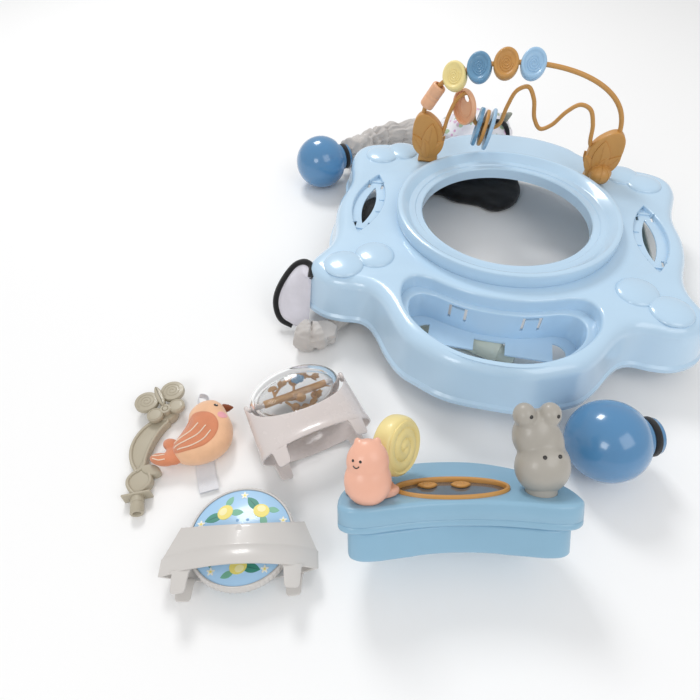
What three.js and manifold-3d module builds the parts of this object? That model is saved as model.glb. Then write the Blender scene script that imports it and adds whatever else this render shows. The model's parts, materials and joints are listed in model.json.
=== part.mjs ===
// Baby activity center, partly unpacked: the play tray stands on its packed legs and folded seat,
// the bead arch is plugged in, and four loose toys lie in front of the tray.
// Millimetres, +Z up, the tray's front (the child's play side) towards -Y, floor at Z = 0.
import * as THREE from 'three';
import Module from 'manifold-3d';
import { mergeVertices } from 'three/addons/utils/BufferGeometryUtils.js';

const wasm = await Module();
wasm.setup();

// Driving dimensions shared by several pieces
const clearance = 0.3; // gap between touching pieces
const overrun = 5; // how far a cutting tool reaches past what it cuts
const weldDistance = 0.001;
const simplifyDistance = 0.12; // flat-lying corners left by the cuts are dropped within this
const layoutCentre = { x: -90.7, y: -97.2 }; // middle of everything that stands on the floor

const legTop = {
  radius: 56, length: 124, neckRadius: 25, neckLength: 16, collarWall: 4,
  bandLength: 9, bandThickness: 2,
};
const legTube = { diameter: 36, chamfer: 3, length: 356, plugDiameter: 27, plugLength: 26 };
const shell = {
  halfWidth: 333, frontReach: 382, backReach: 345, wall: 3, lipOut: 4, lipBand: 10,
  draft: 9, edgeRadius: 22,
};
const lipHeight = legTube.diameter + clearance;
const deckHeight = 2 * legTop.radius + clearance + shell.wall;

const ring = {
  openRadius: 150, outerRadius: 196, rimAboveDeck: 9, edgeAboveDeck: 24, ledgeStep: 2.5,
  ledgeWidth: 24, innerDepth: 20, edgeWidth: 11, chamfer: 1.5,
};
const rimHeight = deckHeight + ring.rimAboveDeck;
const edgeHeight = deckHeight + ring.edgeAboveDeck;

const pocket = {
  bandToRing: 27, depth: 128, halfWidth: 150, ledgeDepth: 25, ledgeWidth: 11, floorBorder: 20,
  windowX: 58, windowWidth: 30, windowHeight: 36, slot: 4.5, tabWidth: 24, tabReach: 12, tabX: 80,
  shoulderX: 62, shoulderWidth: 74, shoulderReach: 14,
};
const lens = {
  x: 250, y: -5, length: 196, width: 56, depth: 8, slotLength: 122, slotWidth: 21,
  slitLength: 15, slitWidth: 5, slitInset: 17, barHeight: 2.5, barWidth: 4, tickLength: 8,
};
const bump = { radius: 33, height: 9 };
const arch = {
  y: 168, footX: 163, rise: 201, spread: 181, base: 80, fullness: 0.8, lean: 10, rodRadius: 4.2,
  wireRadius: 3.8, wireRise: 176,
  leafHeight: 98, leafWidth: 58, leafThickness: 20, pegWidth: 22, pegDepth: 10,
  pegLength: 14, knobRadius: 20,
};
const bead = { width: 44, height: 54, thickness: 18, bore: 6.9 };
const barrel = { radius: 13.5, length: 46, bore: 8.8 };
const hoop = { radius: 31.2, thickness: 9, rim: 4, base: 3, bore: 10, hang: 19 };
const stack = { flowerRadius: 37, ringRadius: 38, innerRadius: 33, thickness: 7.5, gap: 4, bore: 9.6 };

const consoleBox = {
  length: 276, lowerLength: 254, lowerHeight: 37, upperHeight: 32, tilt: 38, turn: 14,
  fromLegX: -192, fromLegY: -160, dent: 0.6, rimHeight: 4, rimWidth: 5,
  dialLength: 138, dialWidth: 56, dialDepth: 6, dialX: -4, dialY: -26, glassHeight: 4,
  keyLength: 24, keyWidth: 15, keyHeight: 3.5, keySpread: 40, keyShift: -7, edge: 5,
};
const snail = {
  x: -104, y: -40, headWidth: 48, headDepth: 36, headHeight: 74, headY: -16, shellRadius: 37,
  shellThickness: 30, shellX: 36, shellY: 32, shellHeight: 48, shellTurn: 50, pinRadius: 5,
  armDepth: 10, footHeight: 9.5, footLength: 88, footWidth: 62, footX: 16, footY: 14,
};
const hippo = {
  x: 98, y: -36, muzzleWidth: 64, muzzleDepth: 50, muzzleHeight: 66, headWidth: 54, headHeight: 62,
  lean: 7, eyeRadius: 13, travel: 5, skirtGap: 6, postRadius: 18,
};
const tab = { width: 22, length: 26, thickness: 3 };
const discToy = {
  x: -268, beyondFront: 296, turn: 16, length: 190, topLength: 152, height: 62, width: 56,
  topWidth: 50, wall: 2.5, tabSpread: 130, dip: 12, radius: 66, thickness: 12, rim: 4,
  rimProud: 1.5, axleRadius: 4, centreHeight: 44,
};
const domeToy = {
  x: -222, beyondFront: 104, turn: 38, length: 164, topLength: 158, height: 76, width: 66,
  topWidth: 76, wall: 2.5, tabSpread: 112, dip: 12, globeLength: 140, globeRadius: 40,
  globeWall: 2.5, axleRadius: 4, centreHeight: 88, hornHeight: 18, hornWidth: 16, stem: 4,
};
const stalk = {
  x: -434, beyondFront: 144, thickness: 15, width: 31, edge: 2.5, radius: 64, centreX: 24,
  centreY: -2, fromAngle: 136, toAngle: 226, leafLength: 46, leafWidth: 36, leafX: -16, leafY: -62,
  hookLength: 28, hookWidth: 16, hookX: -8, hookY: -43, flangeWidth: 38, flangeThickness: 3,
  flangeX: -9, flangeY: -81, plugTurn: 26, plugLength: 27, plugRadius: 9, plugBore: 5,
  knobRadius: 16, knobX: -29, knobY: 51,
};
const butterfly = {
  wing: 18, smallWing: 12, thickness: 9, bodyLength: 42, bodyWidth: 11, bodyY: 13,
  pinRadius: 4, wingX: 20, wingY: 28, smallX: 15, smallY: -2, turn: 44,
};
const bird = {
  x: -392, beyondFront: 120, height: 42, roundOver: 17, tailHeight: 16, tailLength: 38,
  tailWidth: 19, beakLength: 14, beakRadius: 7, tagLength: 46, tagWidth: 26, tagThickness: 1.2,
};
const sleeve = { radius: 35, gather: 4, pleat: 2.4 };
const seat = {
  baseThickness: 24, edge: 4, heapWidth: 186, heapDepth: 150, heapHeight: 78, fold: 5,
  flapThickness: 8, flapEdge: 2.5,
};

// Colours and finishes
const finish = {
  sky: [0xbbd9f0, 0.18], denim: [0x4a80b0, 0.2], sage: [0xc4cbbe, 0.35], ochre: [0xb9833f, 0.35],
  peach: [0xe9b48c, 0.35], butter: [0xf0dd9a, 0.3], slate: [0x5d93bb, 0.3], pool: [0x86b1cc, 0.28],
  stone: [0xd0ccc8, 0.3], blush: [0xded6d3, 0.25], sand: [0xb5ac98, 0.35], coral: [0xf0b29a, 0.55],
  clay: [0xe08d62, 0.6], brown: [0x8a4b2c, 0.6], hide: [0xada89f, 0.35], glass: [0x9a9a9a, 0.05],
  ink: [0x1c1c20, 0.8], linen: [0xe9e7e3, 0.9], cloud: [0xc9c4c0, 0.9], paper: [0xf4f4f4, 0.7],
  picture: [0x9ecbe8, 0.3],
};

const model = new THREE.Group();

function paint(name) {
  const [color, roughness] = finish[name];
  return new THREE.MeshStandardMaterial({ color, roughness, metalness: 0 });
}

function addPiece(parent, name, colour, geometry) {
  const mesh = new THREE.Mesh(geometry, paint(colour));
  mesh.name = name;
  parent.add(mesh);
  return mesh;
}

// Closed meshes and boolean work
function cleaned(geometry) {
  const bare = geometry.clone();
  for (const name of Object.keys(bare.attributes)) {
    if (name !== 'position') bare.deleteAttribute(name);
  }
  const merged = mergeVertices(bare, weldDistance);
  const index = merged.index.array;
  const kept = [];
  for (let i = 0; i < index.length; i += 3) {
    const [a, b, c] = [index[i], index[i + 1], index[i + 2]];
    if (a !== b && b !== c && c !== a) kept.push(a, b, c);
  }
  merged.setIndex(kept);
  return merged;
}

function facesOut(position, triangles) {
  const corner = [new THREE.Vector3(), new THREE.Vector3(), new THREE.Vector3()];
  let volume = 0;
  for (let i = 0; i < triangles.length; i += 3) {
    corner.forEach((point, k) => point.fromArray(position, 3 * triangles[i + k]));
    volume += corner[0].dot(corner[1].clone().cross(corner[2]));
  }
  return volume > 0;
}

function solidOf(geometry) {
  const closed = cleaned(geometry);
  const vertProperties = Float32Array.from(closed.attributes.position.array);
  const triVerts = Uint32Array.from(closed.index.array);
  if (!facesOut(vertProperties, triVerts)) triVerts.reverse();
  return new wasm.Manifold(new wasm.Mesh({ numProp: 3, vertProperties, triVerts }));
}

function geometryOf(solid) {
  const mesh = solid.getMesh();
  const geometry = new THREE.BufferGeometry();
  geometry.setAttribute('position', new THREE.BufferAttribute(mesh.vertProperties, 3));
  geometry.setIndex(new THREE.BufferAttribute(mesh.triVerts, 1));
  return geometry;
}

function join(first, ...others) {
  const joined = others.reduce((solid, other) => solid.add(solidOf(other)), solidOf(first));
  return geometryOf(joined.simplify(simplifyDistance));
}

function cut(first, ...tools) {
  const rest = tools.reduce((solid, tool) => solid.subtract(solidOf(tool)), solidOf(first));
  return geometryOf(rest.simplify(simplifyDistance));
}

function single(geometry) {
  return geometryOf(solidOf(geometry));
}

// Basic forms, each standing on z = 0 unless it is said otherwise
function box(width, depth, height) {
  return new THREE.BoxGeometry(width, depth, height).translate(0, 0, height / 2);
}

function rod(radius, height, sides = 24) {
  return new THREE.CylinderGeometry(radius, radius, height, sides)
    .rotateX(Math.PI / 2).translate(0, 0, height / 2);
}

function ball(radiusX, radiusY, radiusZ, around = 20, rings = 12) {
  return new THREE.SphereGeometry(1, around, rings).rotateX(Math.PI / 2)
    .scale(radiusX, radiusY, radiusZ);
}

function turned(profile, sides = 32) {
  const points = profile.map(([radius, height]) => new THREE.Vector2(radius, height));
  return new THREE.LatheGeometry(points, sides).rotateX(Math.PI / 2);
}

function shapeOf(outline) {
  return new THREE.Shape(outline.map(([x, y]) => new THREE.Vector2(x, y)));
}

function plate(outline, bottom, top) {
  return new THREE.ExtrudeGeometry(shapeOf(outline), { depth: top - bottom, bevelEnabled: false })
    .translate(0, 0, bottom);
}

function softPlate(outline, bottom, top, edge, bevelSegments = 2) {
  return new THREE.ExtrudeGeometry(shapeOf(outline), {
    depth: top - bottom - 2 * edge, bevelEnabled: true, bevelThickness: edge, bevelSize: edge,
    bevelOffset: -edge, bevelSegments,
  }).translate(0, 0, bottom + edge);
}

function smoothLoop(points, count) {
  const curve = new THREE.CatmullRomCurve3(
    points.map(([x, y]) => new THREE.Vector3(x, y, 0)), true, 'centripetal');
  return curve.getPoints(count).slice(0, count).map((point) => [point.x, point.y]);
}

function mirroredLoop(halfPoints, count) {
  const left = halfPoints.slice(1, -1).reverse().map(([x, y]) => [-x, y]);
  return smoothLoop([...halfPoints, ...left], count);
}

function offsetLoop(outline, distance) {
  return outline.map(([x, y], i) => {
    const [beforeX, beforeY] = outline[(i + outline.length - 1) % outline.length];
    const [afterX, afterY] = outline[(i + 1) % outline.length];
    const length = Math.hypot(afterX - beforeX, afterY - beforeY);
    return [x + (distance * (afterY - beforeY)) / length, y - (distance * (afterX - beforeX)) / length];
  });
}

// The outline drawn smaller about its middle, by the distance at each extreme
function shrunkLoop(outline, distance) {
  const bounds = new THREE.Box2().setFromPoints(outline.map(([x, y]) => new THREE.Vector2(x, y)));
  const centre = bounds.getCenter(new THREE.Vector2());
  const size = bounds.getSize(new THREE.Vector2());
  return outline.map(([x, y]) => [
    centre.x + (x - centre.x) * (1 - (2 * distance) / size.x),
    centre.y + (y - centre.y) * (1 - (2 * distance) / size.y)]);
}

function ovalLoop(length, width, count) {
  return Array.from({ length: count }, (_, i) => {
    const angle = (2 * Math.PI * i) / count;
    return [(length / 2) * Math.cos(angle), (width / 2) * Math.sin(angle)];
  });
}

// A pointed oval of two arcs, long along y
function lensLoop(length, width, count = 16) {
  const half = count / 2;
  const side = (sign, from) => Array.from({ length: half }, (_, i) => {
    const share = from * (1 - (2 * i) / half);
    return [sign * (width / 2) * (1 - share * share), (length / 2) * share];
  });
  return [...side(1, -1), ...side(-1, 1)];
}

function loft(rings, centreCaps = false) {
  const count = rings[0].length;
  const positions = rings.flat(2);
  const triangles = [];
  for (let level = 0; level + 1 < rings.length; level += 1) {
    for (let i = 0; i < count; i += 1) {
      const next = (i + 1) % count;
      const [a, b] = [level * count + i, level * count + next];
      triangles.push(a, b, b + count, a, b + count, a + count);
    }
  }
  const last = (rings.length - 1) * count;
  if (centreCaps) {
    for (const [start, ringPoints] of [[0, rings[0]], [last, rings[rings.length - 1]]]) {
      const middle = [0, 1, 2].map((axis) => ringPoints.reduce((sum, p) => sum + p[axis], 0) / count);
      const hub = positions.length / 3;
      positions.push(...middle);
      for (let i = 0; i < count; i += 1) {
        const pair = [start + i, start + ((i + 1) % count)];
        triangles.push(hub, ...(start === 0 ? pair.reverse() : pair));
      }
    }
  } else {
    const flat = (ringPoints) => ringPoints.map(([x, y]) => new THREE.Vector2(x, y));
    for (const [a, b, c] of THREE.ShapeUtils.triangulateShape(flat(rings[0]), [])) {
      triangles.push(c, b, a);
    }
    for (const [a, b, c] of THREE.ShapeUtils.triangulateShape(flat(rings[rings.length - 1]), [])) {
      triangles.push(last + a, last + b, last + c);
    }
  }
  const geometry = new THREE.BufferGeometry();
  geometry.setAttribute('position', new THREE.BufferAttribute(new Float32Array(positions), 3));
  geometry.setIndex(triangles);
  return geometry;
}

function levelRing(outline, height) {
  return outline.map(([x, y]) => [x, y, height]);
}

function tubeAlong(points, radius, sides, steps) {
  const curve = new THREE.CatmullRomCurve3(points.map((p) => new THREE.Vector3(...p)));
  const section = shapeOf(ovalLoop(2 * radius, 2 * radius, sides));
  return new THREE.ExtrudeGeometry(section, { extrudePath: curve, steps, bevelEnabled: false });
}

// A fabric tube whose section swells along the path; low points stay on the floor
function fabricTube(points, steps, sides, radiusAt, ceiling = Infinity) {
  const curve = new THREE.CatmullRomCurve3(points.map((p) => new THREE.Vector3(...p)));
  const up = new THREE.Vector3(0, 0, 1);
  const rings = [];
  for (let step = 0; step <= steps; step += 1) {
    const share = step / steps;
    const centre = curve.getPoint(share);
    const across = curve.getTangent(share).cross(up).normalize();
    rings.push(Array.from({ length: sides }, (_, side) => {
      const angle = (2 * Math.PI * side) / sides;
      const radius = radiusAt(share, angle);
      const point = centre.clone().addScaledVector(across, radius * Math.cos(angle));
      const height = point.z + radius * Math.sin(angle);
      return [point.x, point.y, Math.min(Math.max(height, 0), ceiling)];
    }));
  }
  return loft(rings, true);
}

function placed(geometry, x, y, z, turn = 0) {
  return geometry.clone().rotateZ(THREE.MathUtils.degToRad(turn)).translate(x, y, z);
}

// Drops a turned group until its lowest point is on the floor
function standOnFloor(group) {
  group.updateMatrixWorld(true);
  const bounds = new THREE.Box3().setFromObject(group, true);
  group.position.z -= bounds.min.z;
}

// Tray shell
// Right half of the tray's outline, as shares of its half width and of its front and back reach
const trayOutlineShares = [
  [0, -1], [0.18, -0.99], [0.31, -0.945], [0.395, -0.905], [0.47, -0.832], [0.55, -0.72],
  [0.595, -0.675], [0.645, -0.655], [0.735, -0.66], [0.825, -0.652], [0.91, -0.613],
  [0.965, -0.56], [0.977, -0.49], [0.955, -0.43], [0.918, -0.355], [0.92, -0.25], [0.955, -0.12],
  [0.965, 0.03], [0.948, 0.16], [0.955, 0.26], [0.978, 0.36], [1, 0.46], [0.99, 0.565],
  [0.937, 0.645], [0.84, 0.695], [0.73, 0.715], [0.6, 0.74], [0.48, 0.815], [0.42, 0.88],
  [0.29, 0.95], [0.15, 0.99], [0, 1],
];
// Right half of the front pocket: share of its half width, share of its depth from the rear edge
const pocketOutlineShares = [
  [0, 0], [0.3, -0.03], [0.55, -0.115], [0.75, -0.2], [0.9, -0.195], [0.99, -0.07], [1, 0.12],
  [0.95, 0.33], [0.77, 0.63], [0.51, 0.86], [0.27, 0.97], [0, 1],
];
const trayLoop = mirroredLoop(trayOutlineShares.map(([across, along]) => [
  across * shell.halfWidth, along * (along < 0 ? shell.frontReach : shell.backReach)]), 64);
const pocketRear = ring.outerRadius + pocket.bandToRing;
const pocketLoop = mirroredLoop(pocketOutlineShares.map(([across, along]) => [
  -across * pocket.halfWidth, -pocketRear - along * pocket.depth]), 34);

function trayForm(inset, bottom) {
  const filletShares = [0, 0.35, 0.7, 1];
  const bandTop = lipHeight + shell.lipBand;
  const edgeStart = deckHeight - shell.edgeRadius;
  const levels = inset === 0
    ? [[bottom, 0], [bandTop, 0], [bandTop + shell.lipOut, shell.lipOut]]
    : [[bottom, shell.lipOut]];
  for (const share of filletShares) {
    const angle = (share * Math.PI) / 2;
    levels.push([
      edgeStart + shell.edgeRadius * Math.sin(angle) - (share * inset),
      shell.lipOut + shell.draft + shell.edgeRadius * (1 - Math.cos(angle))]);
  }
  return loft(levels.map(([height, distance]) =>
    levelRing(offsetLoop(trayLoop, -distance - inset), height)));
}

function ringForm() {
  const { openRadius, outerRadius, chamfer, edgeWidth, ledgeStep } = ring;
  const wall = shell.wall;
  const ledgeEnd = openRadius + ring.ledgeWidth;
  const edgeStart = outerRadius - edgeWidth;
  const outside = [
    [openRadius, rimHeight - ring.innerDepth], [openRadius, rimHeight - chamfer],
    [openRadius + chamfer, rimHeight], [openRadius + ring.ledgeWidth / 2, rimHeight],
    [openRadius + ring.ledgeWidth / 2 + chamfer, rimHeight + ledgeStep],
    [ledgeEnd, rimHeight + ledgeStep], [edgeStart - chamfer, edgeHeight - chamfer],
    [edgeStart, edgeHeight], [outerRadius - 2 * chamfer, edgeHeight],
    [outerRadius - chamfer / 2, edgeHeight - 2 * chamfer], [outerRadius, deckHeight - wall],
  ];
  const inside = [
    [outerRadius - wall, deckHeight - wall], [outerRadius - wall, edgeHeight - wall - chamfer],
    [edgeStart + chamfer, edgeHeight - wall], [ledgeEnd + chamfer, rimHeight + ledgeStep - wall],
    [openRadius + wall, rimHeight - wall], [openRadius + wall, rimHeight - ring.innerDepth],
  ];
  return turned([...outside, ...inside, outside[0]], 40);
}

function pocketTools() {
  const ledgeHeight = deckHeight - pocket.ledgeDepth;
  const innerLoop = shrunkLoop(pocketLoop, pocket.ledgeWidth);
  const floorTop = lipHeight + shell.wall;
  const wallOutside = join(
    plate(offsetLoop(pocketLoop, shell.wall), ledgeHeight - shell.wall, deckHeight - shell.wall / 2),
    plate(offsetLoop(innerLoop, shell.wall), lipHeight, ledgeHeight));
  const shoulders = [-1, 1].map((side) => box(
    pocket.shoulderWidth, pocket.depth, shell.wall + 2 * overrun).translate(
    side * pocket.shoulderX, -pocketRear - pocket.ledgeWidth - pocket.floorBorder
      - pocket.shoulderReach + pocket.depth / 2, lipHeight - overrun));
  const tabs = [-1, 1].map((side) => box(
    pocket.tabWidth, 2 * pocket.tabReach, shell.wall + 2 * overrun).translate(
    side * pocket.tabX, -pocketRear - pocket.depth * 0.72, lipHeight - overrun));
  const floorHole = cut(
    plate(shrunkLoop(innerLoop, pocket.floorBorder), lipHeight - overrun, floorTop + overrun),
    ...shoulders, ...tabs);
  const windows = [-1, 1].flatMap((side) => {
    const middle = side * pocket.windowX;
    const wallY = -pocketRear - pocket.ledgeWidth + pocket.depth * 0.1;
    const top = ledgeHeight - shell.wall - pocket.slot;
    const depth = pocket.ledgeWidth * 4;
    return [
      box(pocket.windowWidth, depth, pocket.slot).translate(middle, wallY, top),
      ...[-1, 1].map((edge) => box(pocket.slot, depth, pocket.windowHeight * 0.7).translate(
        middle + edge * (pocket.windowWidth - pocket.slot) / 2, wallY,
        top - pocket.windowHeight * 0.7 + pocket.slot / 2)),
    ];
  });
  return {
    wallOutside,
    holes: [
      plate(pocketLoop, ledgeHeight, deckHeight + overrun),
      plate(innerLoop, floorTop, ledgeHeight + overrun), floorHole, ...windows,
    ],
  };
}

function lensTools(side) {
  const floorTop = deckHeight - lens.depth;
  const plateLoop = lensLoop(lens.length + 4 * shell.wall, lens.width + 2 * shell.wall);
  const backing = plate(plateLoop, floorTop - shell.wall, deckHeight - shell.wall / 2);
  const bars = [-1, 1].map((end) => box(lens.width, lens.barWidth, lens.barHeight + overrun)
    .translate(0, end * (lens.slotLength / 2 + lens.slitInset), floorTop - overrun));
  const ticks = [-1, 1].map((end) => box(lens.tickLength, lens.barWidth, lens.barHeight + overrun)
    .translate(-side * lens.width * 0.36, end * lens.slotLength * 0.16, floorTop - overrun));
  const recess = cut(plate(lensLoop(lens.length, lens.width), floorTop, deckHeight + overrun),
    ...bars, ...ticks);
  const slot = plate(lensLoop(lens.slotLength, lens.slotWidth), floorTop - shell.wall - overrun,
    deckHeight);
  const slits = [-1, 1].flatMap((across) => [-1, 1].map((end) => box(
    lens.slitWidth, lens.slitLength, lens.depth + 2 * shell.wall).translate(
    across * lens.width * 0.23, end * (lens.slotLength / 2 + lens.slitInset * 0.25),
    floorTop - shell.wall - overrun)));
  const centre = (geometry) => placed(geometry, side * lens.x, lens.y, 0);
  return { backing: centre(backing), holes: [recess, slot, ...slits].map(centre) };
}

function bumpCap(x, y) {
  const curvature = (bump.radius ** 2 + bump.height ** 2) / (2 * bump.height);
  const base = deckHeight - shell.wall / 2;
  const steps = 3;
  const profile = [[0, base]];
  for (let step = 0; step <= steps; step += 1) {
    const reach = bump.radius * (1 - step / steps);
    const height = deckHeight + bump.height - curvature + Math.sqrt(curvature ** 2 - reach ** 2);
    profile.push([reach, step === 0 ? deckHeight - shell.wall / 4 : height]);
  }
  profile[1] = [bump.radius, base];
  profile.splice(2, 0, [bump.radius, deckHeight]);
  return turned(profile, 16).translate(x, y, 0);
}

function addTray() {
  // The paired bumps, as shares of the half width and of the front or back reach
  const bumpShares = [[0.76, -0.515], [0.625, -0.425], [0.775, 0.49], [0.66, 0.56]];
  const bumps = bumpShares.flatMap(([across, along]) => [-1, 1].map((side) => bumpCap(
    side * across * shell.halfWidth,
    along * (along < 0 ? shell.frontReach : shell.backReach))));
  const pocketParts = pocketTools();
  const lensParts = [-1, 1].map(lensTools);
  const deckHole = rod(ring.outerRadius - shell.wall / 2, deckHeight + overrun, 40);
  const pegHoles = [-1, 1].map((side) => box(
    arch.pegWidth + 2 * clearance, arch.pegDepth + 2 * clearance, shell.wall + 2 * overrun)
    .translate(side * arch.footX, arch.y, deckHeight - shell.wall - overrun));
  const skin = cut(trayForm(0, lipHeight), trayForm(shell.wall, lipHeight - overrun), deckHole);
  const body = join(skin, ringForm(), pocketParts.wallOutside, ...bumps,
    ...lensParts.map((part) => part.backing));
  addPiece(model, 'tray', 'sky', cut(body, ...pocketParts.holes, ...pegHoles,
    ...lensParts.flatMap((part) => part.holes)));
}

// Leg tops, leg tubes, sleeves and the folded seat
function legTopForm() {
  const { radius, length, neckRadius, neckLength } = legTop;
  const swell = [[0, 0]];
  for (const share of [0.3, 0.55, 0.78, 1, 1.25, 1.45]) {
    const angle = (share * Math.PI) / 2;
    swell.push([radius * Math.sin(angle), radius * (1 - Math.cos(angle))]);
  }
  return turned([
    ...swell, [neckRadius + legTop.collarWall, length - 1.6 * neckLength],
    [neckRadius, length - neckLength], [neckRadius, length], [0, length],
  ], 16);
}

function bandForm() {
  const inner = legTop.neckRadius + clearance;
  const outer = inner + legTop.bandThickness;
  return turned([[inner, 0], [outer, 0], [outer, legTop.bandLength], [inner, legTop.bandLength],
    [inner, 0]], 16).translate(0, 0, legTop.length - legTop.neckLength + clearance);
}

const leadLeg = { x: 163, beyondFront: 29, turn: 20 }; // the one behind the console
// x and y of each leg top's round end and the way that its neck points, in degrees
const legTopPlaces = [
  { x: -1.217 * shell.halfWidth, y: 0.63 * shell.backReach, turn: 40 },
  { x: leadLeg.x, y: -shell.frontReach - leadLeg.beyondFront, turn: leadLeg.turn },
  { x: -0.47 * shell.halfWidth, y: -0.235 * shell.frontReach, turn: 216 },
];

function addLegTops() {
  legTopPlaces.forEach(({ x, y, turn }, i) => {
    const leg = new THREE.Group();
    addPiece(leg, `leg_top_${i + 1}`, 'denim', single(legTopForm()).translate(0, 0, -legTop.radius));
    addPiece(leg, `leg_band_${i + 1}`, 'ink', single(bandForm()).translate(0, 0, -legTop.radius));
    leg.rotation.set(0, Math.PI / 2, THREE.MathUtils.degToRad(turn), 'ZYX');
    leg.position.set(x, y, legTop.radius);
    model.add(leg);
  });
}

function legTubeForm() {
  const outer = legTube.diameter / 2;
  const plug = legTube.plugDiameter / 2;
  const bodyLength = legTube.length - legTube.plugLength;
  return turned([
    [0, 0], [outer, 0], [outer, bodyLength - legTube.chamfer], [plug, bodyLength],
    [plug, legTube.length], [0, legTube.length],
  ], 16);
}

const tubeX = 0.84 * shell.halfWidth;
const tubeY = 0.725 * shell.backReach - legTube.length; // far ends just past the back lip
const tubePlaces = [
  { x: 0.135 * shell.halfWidth, y: -0.665 * shell.frontReach, turn: 161.4, flip: true },
  { x: tubeX, y: tubeY, turn: 90, flip: true },
  { x: tubeX - legTube.diameter - clearance, y: tubeY, turn: 90, flip: true },
];

function addLegTubes() {
  tubePlaces.forEach(({ x, y, turn, flip }, i) => {
    const tube = single(legTubeForm());
    if (flip) tube.rotateX(Math.PI).translate(0, 0, legTube.length);
    const mesh = addPiece(model, `leg_tube_${i + 1}`, 'sage', tube);
    mesh.rotation.set(0, Math.PI / 2, THREE.MathUtils.degToRad(turn), 'ZYX');
    mesh.position.set(x, y, legTube.diameter / 2);
  });
}

function pleated(base, gathers) {
  return (share, angle) => {
    const gather = sleeve.gather * Math.sin(2 * Math.PI * gathers * share);
    const pleat = sleeve.pleat * Math.cos(5 * angle + 7 * share);
    return base(share) + gather + pleat;
  };
}

function neckEnd({ x, y, turn }) {
  const angle = THREE.MathUtils.degToRad(turn);
  const reach = legTop.length - legTop.radius + 2 * clearance;
  return new THREE.Vector3(x + reach * Math.cos(angle), y + reach * Math.sin(angle), legTop.radius);
}

function sleeveForms() {
  const [first, , third] = legTopPlaces.map(neckEnd);
  const lie = sleeve.radius * 0.95;
  const w = shell.halfWidth;
  const [f, b] = [shell.frontReach, shell.backReach];
  const longRoute = [
    [first.x, first.y, first.z], [-1.035 * w, 0.86 * b, legTop.radius * 0.8],
    [-1.0 * w, 1.07 * b, lie], [-0.87 * w, 1.235 * b, lie], [-0.66 * w, 1.345 * b, lie],
    [-0.5 * w, 1.4 * b, lie * 1.1],
  ];
  const tip = (share) => Math.min(1, 8 * share + 0.55, 8 * (1 - share) + 0.6);
  const long = (grow) => fabricTube(longRoute, 36, 12, pleated(
    (share) => grow + sleeve.radius * tip(share) * (1 - 0.08 * share), 9));
  const underLip = lipHeight * 0.46;
  const shortRoute = [
    [third.x, third.y, third.z], [-0.68 * w, -0.427 * f, legTop.radius * 1.14],
    [-0.73 * w, -0.537 * f, legTop.radius * 0.85], [-0.785 * w, -0.65 * f, underLip],
    [-0.82 * w, -0.725 * f, underLip * 1.6], [-0.87 * w, -0.75 * f, underLip * 1.6],
    [-0.94 * w, -0.735 * f, underLip * 1.6],
  ];
  const pinch = (share) => 1 - 0.5 * Math.exp(-(((share - 0.5) / 0.09) ** 2));
  const short = fabricTube(shortRoute, 24, 10, (share, angle) => pleated(
    (s) => sleeve.radius * 0.78 * tip(s) * pinch(s), 6)(share, angle) * 0.92);
  return { long, short };
}

function heapForm() {
  const { heapWidth, heapDepth, heapHeight, fold } = seat;
  const around = 26;
  const levels = [0, 0.12, 0.35, 0.62, 0.85, 0.97];
  const rings = levels.map((level) => Array.from({ length: around }, (_, i) => {
    const angle = (2 * Math.PI * i) / around;
    const swell = Math.sqrt(1 - level ** 2) * (0.9 + 0.1 * Math.min(1, level * 8));
    const crease = fold * (Math.sin(5 * angle + 3 * level) + 0.6 * Math.sin(9 * angle - 4 * level));
    const reach = 1 + (crease / heapWidth) * 2.2;
    return [
      (heapWidth / 2) * swell * reach * Math.cos(angle),
      (heapDepth / 2) * swell * reach * Math.sin(angle),
      seat.baseThickness + clearance + heapHeight * level + crease * 0.5 * level];
  }));
  return loft(rings, true).translate(-0.216 * shell.halfWidth, 1.31 * shell.backReach, 0);
}

// The flap seen from the left: share of the front reach, share of the deck height
const flapShares = [
  [-0.72, 0], [-0.56, 0], [-0.53, 0.24], [-0.44, 0.62], [-0.36, 0.86], [-0.42, 0.97],
  [-0.52, 0.82], [-0.62, 0.52], [-0.7, 0.26],
];
const flapReach = 0.979; // the tray's reach where the flap leans, as a share of its half width

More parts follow.
